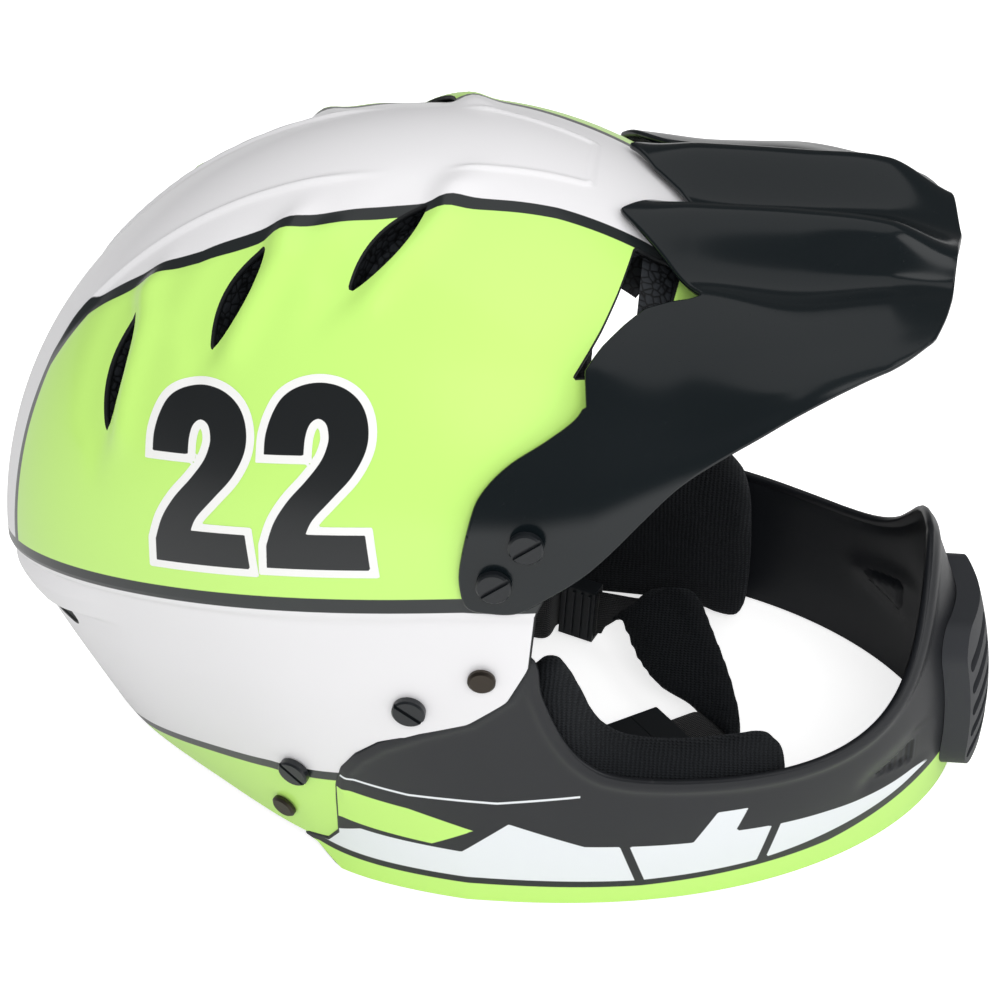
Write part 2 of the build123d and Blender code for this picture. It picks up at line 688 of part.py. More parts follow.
# Visor: one moulding with a raised ridge each side of the middle, its arms flat at the screws
visor_sections = []
visor_cores = []
for x_share, outline in visor_section_shares:
    half = [(y_share * visor_half_width, z_share * visor_height) for y_share, z_share in outline]
    widest = max(y for y, z in half)
    core = [(y - visor_wall * y / widest, z - visor_wall) for y, z in half]
    core[-1] = (core[-1][0], core[-1][1] - overrun)
    for points, group in ((half, visor_sections), (core, visor_cores)):
        mirrored = [(-y, z) for y, z in reversed(points[1:])]
        plane = Plane(origin=(x_share * visor_tip, 0, 0), x_dir=(0, 1, 0), z_dir=(1, 0, 0))
        with BuildSketch(plane) as section:
            with BuildLine():
                Spline(mirrored + points)
                Line(points[-1], mirrored[0])
            make_face()
        group.append(section.sketch)
with BuildPart() as visor:
    loft(visor_sections)
    loft(visor_cores, mode=Mode.SUBTRACT)
    with BuildSketch(Plane.XZ) as edge:
        with BuildLine():
            Spline(side_outline(visor_arm_shares, visor_tip, visor_height))
            Spline(side_outline(visor_lower_shares, visor_tip, visor_height))
            Polyline(
                side_outline(
                    visor_lower_shares[-1:] + ((1.05, 1.1), (0.27, 1.1)) + visor_arm_shares[:1],
                    visor_tip,
                    visor_height,
                )
            )
        make_face()
    extrude(amount=cut_across(), both=True, mode=Mode.INTERSECT)
    with BuildSketch(Plane.XY) as notch:
        left = side_outline(visor_notch_shares, visor_tip, visor_half_width)
        right = [(x, -y) for x, y in reversed(left[:-1])]
        rear = -visor_tip / 4
        with BuildLine():
            Polyline([(rear, left[0][1])] + left + right + [(rear, right[-1][1])], close=True)
        make_face()
    extrude(amount=crown_height + overrun, mode=Mode.SUBTRACT)
    with BuildSketch(Plane.XY) as front:
        left = side_outline(visor_front_shares, visor_tip, visor_half_width)
        right = [(x, -y) for x, y in reversed(left[:-1])]
        rear = -visor_tip / 4
        with BuildLine():
            Spline(left + right)
            Polyline([right[-1], (rear, right[-1][1] * 1.1), (rear, left[0][1] * 1.1), left[0]])
        make_face()
    extrude(amount=crown_height + overrun, mode=Mode.INTERSECT)
    for seat in visor_seats:
        with BuildSketch(seat):
            Circle(boss_width / 2)
        extrude(amount=-(boss_rise + visor_wall))
        with BuildSketch(seat):
            Circle(boss_width / 2)
        extrude(amount=overrun, mode=Mode.SUBTRACT)
    for seat in visor_seats[0::2]:
        with BuildSketch(seat):
            Circle(screw_shank / 2 + running_gap)
        extrude(amount=-screw_length / 2, both=True, mode=Mode.SUBTRACT)
    for seat in visor_seats[1::2]:
        swing = Vector(pivot_z - lock_z, 0, lock_x - pivot_x)
        with BuildSketch(Plane(origin=seat.origin, x_dir=swing, z_dir=seat.z_dir)):
            SlotCenterToCenter(2 * swing.length * sin(radians(visor_tilt_range)), screw_shank + 2 * hole_gap)
        extrude(amount=-screw_length / 2, both=True, mode=Mode.SUBTRACT)
visor.part.label = "visor"
export_step(visor.part, "parts/visor.step")


def make_screws(label, seats_and_depths):
    """Slotted cheese head screws at their seats, their shanks through their nuts."""
    with BuildPart() as screws:
        for seat, depth in seats_and_depths:
            length = depth + nut_height
            with BuildSketch(turned_plane(seat)):
                with BuildLine():
                    Polyline(
                        (0, -length),
                        (screw_shank / 2, -length),
                        (screw_shank / 2, 0),
                        (screw_head / 2, 0),
                        (screw_head / 2, screw_head_height - screw_edge),
                        (screw_head / 2 - screw_edge, screw_head_height),
                        (0, screw_head_height),
                        close=True,
                    )
                make_face()
            revolve(axis=Axis(seat.origin, seat.z_dir))
            with BuildSketch(seat.offset(screw_head_height)):
                Rectangle(screw_head + overrun, screw_slot)
            extrude(amount=-screw_slot_depth, mode=Mode.SUBTRACT)
    screws.part.label = label
    export_step(screws.part, "parts/" + label + ".step")


def make_nuts(label, seats_and_depths):
    """Hexagon nuts, each on its screw."""
    with BuildPart() as nuts:
        for seat, depth in seats_and_depths:
            with BuildSketch(seat.offset(-depth)):
                RegularPolygon(nut_width / 2, 6)
                Circle(screw_shank / 2 + running_gap, mode=Mode.SUBTRACT)
            extrude(amount=-nut_height)
    nuts.part.label = label
    export_step(nuts.part, "parts/" + label + ".step")


make_screws("visor_pivot_screws", nut_limits[0:4:2])
make_screws("visor_lock_screws", nut_limits[1:4:2])
make_screws("guard_screws", nut_limits[4:])
make_nuts("visor_nuts", nut_limits[:4])
make_nuts("guard_nuts", nut_limits[4:])

# Strap rivets with domed heads, a washer on each behind the strap
front_web_side = left_leg_shares[0][1] * guard_half_width
rear_web_side = left_rear_shares[0][1] * guard_half_width
washer_limits = []
for seat in front_rivet_seats:
    inside = front_web_side - webbing_thickness / 2 - webbing_gap
    washer_limits.append((seat, clear_depth(seat, washer_width / 2, lambda x, z: inside)))
for seat in rear_rivet_seats:
    inside = rear_web_side - webbing_thickness / 2 - webbing_gap
    washer_limits.append((seat, clear_depth(seat, washer_width / 2, lambda x, z: inside)))
with BuildPart() as strap_rivets:
    for seat, depth in washer_limits:
        length = depth + washer_height + contact_gap / 2
        tail = length + rivet_tail
        with BuildSketch(turned_plane(seat)):
            with BuildLine():
                Polyline(
                    (0, -tail),
                    (rivet_shank / 2 + rivet_edge, -tail),
                    (rivet_shank / 2 + rivet_edge, -length),
                    (rivet_shank / 2, -length),
                    (rivet_shank / 2, 0),
                    (rivet_head / 2, 0),
                    (rivet_head / 2, rivet_head_height - rivet_edge),
                    (rivet_head / 2 - rivet_edge, rivet_head_height),
                    (0, rivet_head_height),
                    close=True,
                )
            make_face()
        revolve(axis=Axis(seat.origin, seat.z_dir))
strap_rivets.part.label = "strap_rivets"
export_step(strap_rivets.part, "parts/strap_rivets.step")

with BuildPart() as rivet_washers:
    for seat, depth in washer_limits:
        with BuildSketch(seat.offset(-depth)):
            Circle(washer_width / 2)
            Circle(rivet_shank / 2 + running_gap, mode=Mode.SUBTRACT)
        extrude(amount=-washer_height)
rivet_washers.part.label = "rivet_washers"
export_step(rivet_washers.part, "parts/rivet_washers.step")

# Buckle: the mouth of the socket, the line from the tongue into it, and its direction of width
sleeve_line = [(web_point(shares), Vector(*width)) for shares, width in zip(sleeve_shares, sleeve_widths)]
buckle_line = Vector(*buckle_direction).normalized()
buckle_flat = Vector(-buckle_line.Y, buckle_line.X, 0).normalized()
mouth_place = sleeve_line[-1][0] + buckle_line * (buckle_run_gap + buckle_travel + tongue_length)
tube_width = webbing_width + 2 * webbing_gap
tube_thickness = webbing_thickness + 2 * webbing_gap
buckle_width = tube_width + 2 * (prong_width + contact_gap + buckle_wall)


def buckle_plane(along):
    """Plane across the buckle at a distance into the socket from its mouth."""
    return Plane(origin=mouth_place + buckle_line * along, x_dir=buckle_flat, z_dir=buckle_line)


with BuildPart() as buckle_socket:
    with BuildSketch(buckle_plane(0)):
        RectangleRounded(buckle_width, buckle_thickness, buckle_wall)
    extrude(amount=socket_length)
    with BuildSketch(buckle_plane(0)):
        Rectangle(buckle_width - 2 * buckle_wall, prong_thickness + 2 * contact_gap)
    extrude(amount=prong_length + contact_gap, mode=Mode.SUBTRACT)
    with BuildSketch(buckle_plane(socket_length)):
        Rectangle(tube_width, tube_thickness)
    extrude(amount=-socket_length / 3, mode=Mode.SUBTRACT)
buckle_socket.part.label = "buckle_socket"
export_step(buckle_socket.part, "parts/buckle_socket.step")

with BuildPart() as buckle_tongue:
    with BuildSketch(buckle_plane(-contact_gap)):
        RectangleRounded(buckle_width, buckle_thickness, buckle_wall)
        Rectangle(tube_width, tube_thickness, mode=Mode.SUBTRACT)
    extrude(amount=-(tongue_length - contact_gap))
    prong_side = (tube_width + prong_width) / 2
    with BuildSketch(buckle_plane(-contact_gap)):
        with Locations((prong_side, 0), (-prong_side, 0)):
            Rectangle(prong_width, prong_thickness)
    extrude(amount=prong_length)
buckle_tongue.part.label = "buckle_tongue"
export_step(buckle_tongue.part, "parts/buckle_tongue.step")

# Sliders: flat ribbed tubes round two layers of webbing, the rear strap's on the inner side
layer_side = (webbing_thickness + webbing_gap) / 2
divider_thickness = 2 * webbing_thickness + 3 * webbing_gap


def slider_frame(place_share, direction):
    """Middle of a slider, its line along the straps, its direction of width and its outward direction."""
    line = Vector(*direction).normalized()
    across = (Vector(0, 0, 1) - line * line.Z).normalized()
    middle = web_point(place_share)
    outward = line.cross(across).normalized()
    if outward.Y * middle.Y < 0:
        outward = outward * -1
    return middle, line, across, outward


slider_frames = [
    slider_frame(left_slider_share, left_slider_direction),
    slider_frame(right_slider_share, right_slider_direction),
]
with BuildPart() as strap_sliders:
    for middle, line, across, outward in slider_frames:
        frame_plane = Plane(origin=middle, x_dir=across, z_dir=line)
        with BuildSketch(frame_plane):
            RectangleRounded(
                tube_width + 2 * slider_wall, divider_thickness + 2 * slider_wall, slider_wall / 2
            )
            Rectangle(tube_width, divider_thickness, mode=Mode.SUBTRACT)
        extrude(amount=slider_length / 2, both=True)
        for run_share in slider_rib_shares:
            with BuildSketch(frame_plane.offset(run_share * slider_length)):
                Rectangle(tube_width, divider_thickness + 2 * (slider_wall + slider_rib))
                Rectangle(tube_width, divider_thickness + slider_wall, mode=Mode.SUBTRACT)
            extrude(amount=slider_rib / 2, both=True)
strap_sliders.part.label = "strap_sliders"
export_step(strap_sliders.part, "parts/strap_sliders.step")


def strap_line(point_shares, widths):
    """Stations of a strap from its shares and directions of width."""
    return [(web_point(shares), Vector(*width)) for shares, width in zip(point_shares, widths)]


def slider_run(frame, layer):
    """Two stations of a strap inside a slider, on its outer (1) or inner (-1) layer."""
    middle, line, across, outward = frame
    centre = middle + outward * (layer * layer_side)
    return [(centre + line * (run * slider_length), across) for run in (-slider_end_share, slider_end_share)]


def make_strap(label, line, seat):
    """Webbing along its stations, with an eyelet for its rivet."""
    with BuildPart() as strap:
        loft(web_sections(web_planes(line), webbing_width, webbing_thickness), ruled=True)
        with BuildSketch(seat):
            Circle(rivet_shank / 2 + webbing_gap)
        extrude(amount=-screw_length, mode=Mode.SUBTRACT)
    strap.part.label = label
    export_step(strap.part, "parts/" + label + ".step")


left_line = strap_line(left_leg_shares, leg_widths) + slider_run(slider_frames[0], 1) + sleeve_line
left_line.append((mouth_place - buckle_line * (tongue_length + buckle_travel), buckle_flat))
left_line.append((mouth_place - buckle_line * (tongue_length / 4), buckle_flat))
make_strap("chin_strap_left", left_line, front_rivet_seats[1])
sleeve_start = left_line.index(sleeve_line[0])
sleeve_planes = web_planes(left_line)[sleeve_start : sleeve_start + len(sleeve_line)]

right_line = strap_line(right_leg_shares, leg_widths) + slider_run(slider_frames[1], 1)
right_line.append((mouth_place + buckle_line * (socket_length + tongue_length / 2), buckle_flat))
right_line.append((mouth_place + buckle_line * (socket_length * 3 / 4), buckle_flat))
make_strap("chin_strap_right", right_line, front_rivet_seats[0])

left_rear_line = strap_line(left_rear_shares, left_rear_widths) + slider_run(slider_frames[0], -1)
make_strap("rear_strap_left", left_rear_line, rear_rivet_seats[1])
right_rear_line = strap_line(right_rear_shares, right_rear_widths) + slider_run(slider_frames[1], -1)
make_strap("rear_strap_right", right_rear_line, rear_rivet_seats[0])

# Padded sleeve round the left strap under the chin
with BuildPart() as strap_sleeve:
    loft(web_sections(sleeve_planes, sleeve_width, sleeve_thickness), ruled=True)
    loft(web_sections(sleeve_planes, tube_width, tube_thickness), ruled=True, mode=Mode.SUBTRACT)
strap_sleeve.part.label = "strap_sleeve"
export_step(strap_sleeve.part, "parts/strap_sleeve.step")
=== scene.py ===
"""Downhill bike full face helmet: painted shell, glossy visor, satin chin guard, knit pads and webbing straps.

Sizes are in millimetres and turned into metres where a mesh is made. X is forward, Y the wearer's left, Z up.
"""

import math

import bpy
import numpy as np
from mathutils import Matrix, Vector


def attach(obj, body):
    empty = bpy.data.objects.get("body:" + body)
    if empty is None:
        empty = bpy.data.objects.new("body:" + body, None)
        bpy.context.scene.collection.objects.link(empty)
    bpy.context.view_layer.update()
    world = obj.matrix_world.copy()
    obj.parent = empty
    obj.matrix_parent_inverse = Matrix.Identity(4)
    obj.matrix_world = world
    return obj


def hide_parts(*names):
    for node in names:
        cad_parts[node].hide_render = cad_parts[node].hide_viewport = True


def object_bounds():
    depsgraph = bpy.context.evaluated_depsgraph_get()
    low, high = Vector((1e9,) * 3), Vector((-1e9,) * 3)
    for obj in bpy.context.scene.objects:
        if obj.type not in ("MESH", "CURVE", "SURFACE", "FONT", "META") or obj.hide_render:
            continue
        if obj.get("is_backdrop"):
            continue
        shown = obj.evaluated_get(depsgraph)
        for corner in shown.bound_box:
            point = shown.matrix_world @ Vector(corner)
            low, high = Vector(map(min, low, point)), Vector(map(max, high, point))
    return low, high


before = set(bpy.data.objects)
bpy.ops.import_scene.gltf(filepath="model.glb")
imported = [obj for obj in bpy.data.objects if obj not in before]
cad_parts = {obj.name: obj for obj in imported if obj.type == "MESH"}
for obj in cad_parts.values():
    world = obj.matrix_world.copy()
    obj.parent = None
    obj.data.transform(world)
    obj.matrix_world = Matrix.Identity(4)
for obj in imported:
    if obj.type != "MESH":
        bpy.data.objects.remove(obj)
bounds_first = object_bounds()

MM = 0.001

# The shell's form, as in the part
REAR_REACH, HALF_WIDTH, CHEEK_REACH = 177.5, 110.0, 118.0
CROWN_SETBACK, BROW_REACH, CROWN_HEIGHT = 20.0, 150.0, 242.0
POLE_HEIGHT, BELT_HEIGHT, KEEL_DEPTH = 78.0, 129.5, 190.0
SHELL_WALL, SHELL_FRONT = 2.2, 78.0
BELLY, BELLY_FADE = 0.9, 0.42

# The chin guard's form
GUARD_NOSE, GUARD_NOSE_LEVEL, GUARD_NOSE_LEAN = 170.0, 25.0, 17.0
GUARD_HALF, GUARD_TUCK, GUARD_HEIGHT, GUARD_CORNER = 104.5, 2.0, 96.0, 106.0
GUARD_WALL, GUARD_FLUSH, GUARD_FLARE = 3.2, 45.0, 62.0
GUARD_REAR, GUARD_SQUARE, GUARD_EASE, GUARD_BOW = 78.0, 3.0, 0.7, 0.6


def shell_measure(x, inset=0.0):
    """Half width, belt, crown and keel heights and belly power of the shell's section at x."""
    x = np.asarray(x, float)
    rear = REAR_REACH - inset
    along = np.where(x < 0, np.clip(-x / rear, 0, 1), 0.0)
    front = np.clip(1 - (x / (CHEEK_REACH - inset / 2)) ** 2, 0, 1)
    wide = (HALF_WIDTH - inset) * np.sqrt(np.where(x < 0, 1 - along**2, front))
    reach = np.where(x < -CROWN_SETBACK, rear - CROWN_SETBACK, BROW_REACH - inset)
    share = np.clip(np.abs(x + CROWN_SETBACK) / reach, 0, 1)
    crown = POLE_HEIGHT + (CROWN_HEIGHT - inset - POLE_HEIGHT) * np.sqrt(1 - share**2)
    belt = POLE_HEIGHT + (BELT_HEIGHT - POLE_HEIGHT) * np.sqrt(np.clip(1 - along**1.1, 0, 1))
    keel = POLE_HEIGHT - (KEEL_DEPTH - inset) * (1 - along**2)
    belly = 1 + BELLY / (1 + (along / BELLY_FADE) ** 6)
    return wide, belt, crown, keel, belly


def shell_side(x, z, inset=0.0):
    """Half width of the shell's form at x and z."""
    wide, belt, crown, keel, belly = shell_measure(x, inset)
    z = np.asarray(z, float)
    up = np.clip((z - belt) / np.maximum(crown - belt, 1e-6), 0, 1)
    down = np.clip((belt - z) / np.maximum(belt - keel, 1e-6), 0, 1)
    return np.where(z >= belt, wide * np.sqrt(1 - up**2), wide * np.sqrt(np.clip(1 - down**belly, 0, 1)))


def shell_grid(rows, turns):
    """Grid over the shell's form: stations along x from the rear pole, turns round each section."""
    half = rows * 7 // 10
    bend = np.linspace(0, 1, half)
    rear = -REAR_REACH * np.cos(bend * math.pi / 2)
    front = np.linspace(0, SHELL_FRONT, rows - half + 1)[1:]
    x = np.concatenate([rear, front])
    angle = np.linspace(-math.pi / 2, 3 * math.pi / 2, turns)
    X, A = np.meshgrid(x, angle, indexing="ij")
    wide, belt, crown, keel, belly = shell_measure(X)
    low = np.sin(A) < 0
    y = wide * np.cos(A)
    upper = belt + (crown - belt) * np.abs(np.sin(A))
    lower = belt - (belt - keel) * np.abs(np.sin(A)) ** (2 / belly)
    return np.stack([X, y, np.where(low, lower, upper)], -1)


def guard_nose(z, inset=0.0):
    """Reach of the guard's nose at z."""
    lean = (z - GUARD_NOSE_LEVEL) / (GUARD_HEIGHT - GUARD_NOSE_LEVEL)
    return GUARD_NOSE - GUARD_NOSE_LEAN * lean**2 - inset


def guard_side(x, z, inset=0.0):
    """Half width of the guard's form at x and z, flowing into the shell's form at the rear."""
    depth = np.clip(1 - z / GUARD_CORNER, 0, None)
    wide = GUARD_HALF - GUARD_TUCK * depth**2.5
    reach = GUARD_FLUSH + (GUARD_FLARE - GUARD_FLUSH) * depth**8
    share = np.clip(np.clip(-x, 0, None) / reach, 0, 1) ** 1.2
    rear = wide + (shell_side(x, z) - wide) * share - inset * (1 + GUARD_EASE * share)
    along = np.clip(x / guard_nose(z, inset), 0, 1)
    front = (wide - inset) * (1 - along ** (GUARD_SQUARE - GUARD_EASE * depth**2.5)) ** GUARD_BOW
    return np.where(x < 0, rear, front)


def guard_grid(levels, points, high):
    """Grid over the guard's form: levels in z, each an even run of points from left rear to right rear."""
    rows = []
    t = np.linspace(0, 1, 400)
    for z in np.linspace(0, high, levels):
        nose = float(guard_nose(z))
        x = np.concatenate([np.linspace(-GUARD_REAR, 0, 60)[:-1], nose * np.sin(t * math.pi / 2)])
        y = guard_side(x, np.full_like(x, z))
        y[-1] = 0
        px = np.concatenate([x, x[-2::-1]])
        py = np.concatenate([y, -y[-2::-1]])
        run = np.concatenate([[0], np.cumsum(np.hypot(np.diff(px), np.diff(py)))])
        even = np.linspace(0, run[-1], points)
        rows.append(np.stack([np.interp(even, run, px), np.interp(even, run, py), np.full(points, z)], -1))
    return np.array(rows)


def inside_distance(px, py, outline):
    """Signed distance of points to a closed outline, positive inside."""
    best = np.full(np.shape(px), 1e9)
    odd = np.zeros(np.shape(px), bool)
    pts = list(outline)
    for (ax, ay), (bx, by) in zip(pts, pts[1:] + pts[:1]):
        ex, ey = bx - ax, by - ay
        t = np.clip(((px - ax) * ex + (py - ay) * ey) / (ex * ex + ey * ey + 1e-9), 0, 1)
        best = np.minimum(best, np.hypot(px - ax - t * ex, py - ay - t * ey))
        cross = (ay > py) != (by > py)
        odd ^= cross & (px < (bx - ax) * (py - ay) / (by - ay + 1e-12) + ax)
    return np.where(odd, best, -best)


def between(a, b, c, d, t):
    """Catmull-Rom blend from b to c at share t, with the neighbours a and d."""
    bend = (2 * a - 5 * b + 4 * c - d) * t**2 + (3 * b - a - 3 * c + d) * t**3
    return 0.5 * (2 * b + (c - a) * t + bend)


def curve(points, steps=12, closed=False):
    """Smooth run through given points: a Catmull-Rom curve."""
    p = np.array(points, float)
    n = len(p)
    out = []
    spans = n if closed else n - 1
    for i in range(spans):
        if closed:
            a, b, c, d = p[(i - 1) % n], p[i], p[(i + 1) % n], p[(i + 2) % n]
        else:
            a, b, c, d = p[max(i - 1, 0)], p[i], p[i + 1], p[min(i + 2, n - 1)]
        for k in range(steps):
            t = k / steps
            out.append(between(a, b, c, d, t))
    if not closed:
        out.append(p[-1])
    return np.array(out)


def smooth(a, b, v):
    """Soft step from 0 at a to 1 at b."""
    t = np.clip((v - a) / (b - a), 0, 1)
    return t * t * (3 - 2 * t)


def grid_normals(P, flip=False, toward=None):
    """Unit normals of a grid surface by its differences along both ways.

    toward holds a row, a column, an axis and a sign: the normal there looks that way.
    """
    du = np.gradient(P, axis=0)
    dv = np.gradient(P, axis=1)
    n = np.cross(du, dv)
    if flip:
        n = -n
    length = np.linalg.norm(n, axis=-1, keepdims=True)
    n = n / np.maximum(length, 1e-9)
    poor = length[..., 0] < 1e-6
    if poor.any():
        rows = np.where(poor.all(axis=1))[0]
        for r in rows:
            near = r + 1 if r == 0 else r - 1
            mean = n[near].mean(axis=0)
            n[r] = mean / max(np.linalg.norm(mean), 1e-9)
    if toward is not None:
        row, col, axis, sign = toward
        if n[row, col, axis] * sign < 0:
            n = -n
    return n


def trimmed(P, N, keep, fields, wrap=False):
    """Cuts a grid surface along keep = 0. Returns points, normals, field values, faces and the open edges."""
    rows, cols = P.shape[:2]
    index = np.arange(rows * cols).reshape(rows, cols)
    if wrap:
        index[:, -1] = index[:, 0]
    for r in (0, rows - 1):
        if np.ptp(P[r], axis=0).max() < 1e-6:
            index[r] = index[r, 0]
    pts = P.reshape(-1, 3)
    nor = N.reshape(-1, 3)
    val = np.stack([f.reshape(-1) for f in fields], -1) if fields else np.zeros((len(pts), 0))
    k = keep.reshape(-1)
    quads = np.stack([index[:-1, :-1], index[1:, :-1], index[1:, 1:], index[:-1, 1:]], -1).reshape(-1, 4)
    inside = k[quads] > 0
    full = quads[inside.all(axis=1)]
    part = quads[inside.any(axis=1) & ~inside.all(axis=1)]
    faces = [list(dict.fromkeys(q)) for q in full.tolist()]
    faces = [f for f in faces if len(f) > 2]
    extra_p, extra_n, extra_v, made = [], [], [], {}
    base = len(pts)
    for q in part.tolist():
        q = list(dict.fromkeys(q))
        poly = []
        for a, b in zip(q, q[1:] + q[:1]):
            if k[a] > 0:
                poly.append(a)
            if (k[a] > 0) != (k[b] > 0):
                key = (min(a, b), max(a, b))
                if key not in made:
                    t = k[key[0]] / (k[key[0]] - k[key[1]])
                    t = min(max(t, 0.02), 0.98)
                    made[key] = base + len(extra_p)
                    extra_p.append(pts[key[0]] * (1 - t) + pts[key[1]] * t)
                    n = nor[key[0]] * (1 - t) + nor[key[1]] * t
                    extra_n.append(n / max(np.linalg.norm(n), 1e-9))
                    extra_v.append(val[key[0]] * (1 - t) + val[key[1]] * t)
                poly.append(made[key])
        if len(poly) > 2:
            faces.append(poly)
    if extra_p:
        pts = np.concatenate([pts, extra_p])
        nor = np.concatenate([nor, extra_n])
        val = np.concatenate([val, np.array(extra_v).reshape(len(extra_p), -1)])
    used = np.unique(np.concatenate([np.array(f) for f in faces]))
    lookup = np.full(len(pts), -1)
    lookup[used] = np.arange(len(used))
    faces = [[int(lookup[v]) for v in f] for f in faces]
    count = {}
    for f in faces:
        for a, b in zip(f, f[1:] + f[:1]):
            count[(a, b)] = count.get((a, b), 0) + 1
    rim = [(a, b) for (a, b) in count if (b, a) not in count]
    return pts[used], nor[used], val[used], faces, rim


def make_mesh(
    name, points, faces, material, normals=None, values=None,
    value_names=(), slot=None, replaces=(), body="helmet",
):
    """Makes an object of faces in millimetres, with its material and its own fields, and hides the CAD parts it
    stands for.
    """
    mesh = bpy.data.meshes.new(name)
    mesh.from_pydata((np.asarray(points) * MM).tolist(), [], faces)
    for i, value_name in enumerate(value_names):
        layer = mesh.attributes.new(value_name, "FLOAT", "POINT")
        layer.data.foreach_set("value", np.ascontiguousarray(values[:, i], dtype=np.float32))
    mesh.materials.append(material)
    mesh.polygons.foreach_set("use_smooth", np.ones(len(mesh.polygons), bool))
    if normals is not None:
        mesh.normals_split_custom_set_from_vertices(np.asarray(normals).tolist())
    obj = bpy.data.objects.new(name, mesh)
    bpy.context.scene.collection.objects.link(obj)
    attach(obj, body)
    if replaces:
        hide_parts(*replaces)
    return obj


def walled(points, normals, values, faces, rim, wall, rings=3, grounded=False):
    """Gives a trimmed skin its wall: an inner skin along the normals and a rounded lip between the two."""
    n = len(points)
    inner = points - normals * wall
    outward = np.zeros_like(points)
    for a, b in rim:
        edge = points[b] - points[a]
        side = np.cross(edge, (normals[a] + normals[b]) / 2)
        side = side / max(np.linalg.norm(side), 1e-9)
        outward[a] += side
        outward[b] += side
    outward /= np.maximum(np.linalg.norm(outward, axis=1, keepdims=True), 1e-9)
    if grounded:
        outward *= smooth(0.0, 1.5, points[:, 2:])
    pts = [points, inner]
    nor = [normals, -normals]
    val = [values, values]
    all_faces = list(faces) + [[v + n for v in reversed(f)] for f in faces]
    edge_ids = sorted({v for e in rim for v in e})
    place = {v: i for i, v in enumerate(edge_ids)}
    ids = np.array(edge_ids)
    starts = []
    total = 2 * n
    for ring in range(rings + 2):
        turn = math.pi * ring / (rings + 1)
        bulge = wall / 2 * math.sin(turn) * 0.8
        drop = wall / 2 * (1 - math.cos(turn))
        pts.append(points[ids] - normals[ids] * drop + outward[ids] * bulge)
        lean = normals[ids] * math.cos(turn) + outward[ids] * math.sin(turn)
        nor.append(lean / np.maximum(np.linalg.norm(lean, axis=1, keepdims=True), 1e-9))
        val.append(values[ids])
        starts.append(total)
        total += len(ids)
    for a, b in rim:
        for r in range(rings + 1):
            p, q = starts[r] + place[a], starts[r] + place[b]
            s, t = starts[r + 1] + place[b], starts[r + 1] + place[a]
            all_faces.append([q, p, t, s])
    return np.concatenate(pts), np.concatenate(nor), np.concatenate(val), all_faces


# Materials

def colour(hex_text):
    """sRGB hex to a linear colour."""
    parts = [int(hex_text[i : i + 2], 16) / 255 for i in (0, 2, 4)]
    return [c / 12.92 if c <= 0.04045 else ((c + 0.055) / 1.055) ** 2.4 for c in parts] + [1.0]


class Shader:
    """Small helper that adds nodes and wires them by name."""

    def __init__(self, name, base="808080", rough=0.5, **shade):
        self.material = bpy.data.materials.new(name)
        self.material.use_nodes = True
        self.tree = self.material.node_tree
        self.bsdf = self.tree.nodes["Principled BSDF"]
        self.set(self.bsdf, "Base Color", colour(base))
        self.set(self.bsdf, "Roughness", rough)
        for key, value in shade.items():
            self.set(self.bsdf, key.replace("_", " "), value)

    def set(self, node, socket, value):
        if isinstance(value, bpy.types.NodeSocket):
            self.tree.links.new(value, node.inputs[socket])
        else:
            node.inputs[socket].default_value = value

    def add(self, kind, inputs=(), **props):
        node = self.tree.nodes.new(kind)
        for key, value in props.items():
            setattr(node, key, value)
        for socket, value in dict(inputs).items():
            self.set(node, socket, value)
        return node

    def math(self, operation, a, b=0.0, c=0.0):
        node = self.add("ShaderNodeMath", {0: a, 1: b, 2: c}, operation=operation)
        return node.outputs[0]

    def field(self, name):
        return self.add("ShaderNodeAttribute", attribute_name=name).outputs["Fac"]

    def above(self, value, edge=0.0, blur=0.12):
        """1 where value is above the edge, with a soft line of the given width."""
        node = self.add(
            "ShaderNodeMapRange", {"Value": value, "From Min": edge - blur, "From Max": edge + blur}, clamp=True
        )
        return node.outputs["Result"]

    def mix(self, share, a, b):
        node = self.add("ShaderNodeMix", data_type="RGBA")
        self.set(node, 0, share)
        self.set(node, 6, a)
        self.set(node, 7, b)
        return node.outputs[2]

    def place(self):
        return self.add("ShaderNodeTexCoord").outputs["Object"]

    def noise(self, size_mm, detail=3.0):
        inputs = {"Vector": self.place(), "Scale": 1 / (size_mm * MM), "Detail": detail, "Roughness": 0.5}
        return self.add("ShaderNodeTexNoise", inputs).outputs["Fac"]

    def bump(self, height, depth_mm):
        inputs = {"Height": height, "Distance": depth_mm * MM, "Strength": 1.0}
        return self.add("ShaderNodeBump", inputs).outputs["Normal"]

    def waves(self, value, pitch_mm):
        """Phase of a wave that repeats every pitch along a place in metres."""
        return self.math("MULTIPLY", value, 2 * math.pi / (pitch_mm * MM))

    def finish(self, **sockets):
        for key, value in sockets.items():
            self.set(self.bsdf, key.replace("_", " "), value)
        return self.material


GREEN, WHITE, BLACK, GUARD_BLACK, PALE = "C6F57A", "E9E8EA", "202526", "1A1C20", "E9EDF0"
BELT_LINE, LOW_LINE, SPINE_LINE, PIN_LINE, HEM_LINE = 2.7, 2.1, 2.3, 0.45, (-1.6, 1.2)
VENT_RIB, KNIT_RIB, KNIT_LOOP, TWILL_ACROSS, TWILL_DOWN, BEAD_CELL = 1.9, 1.5, 1.1, 1.8, 1.3, 3.0


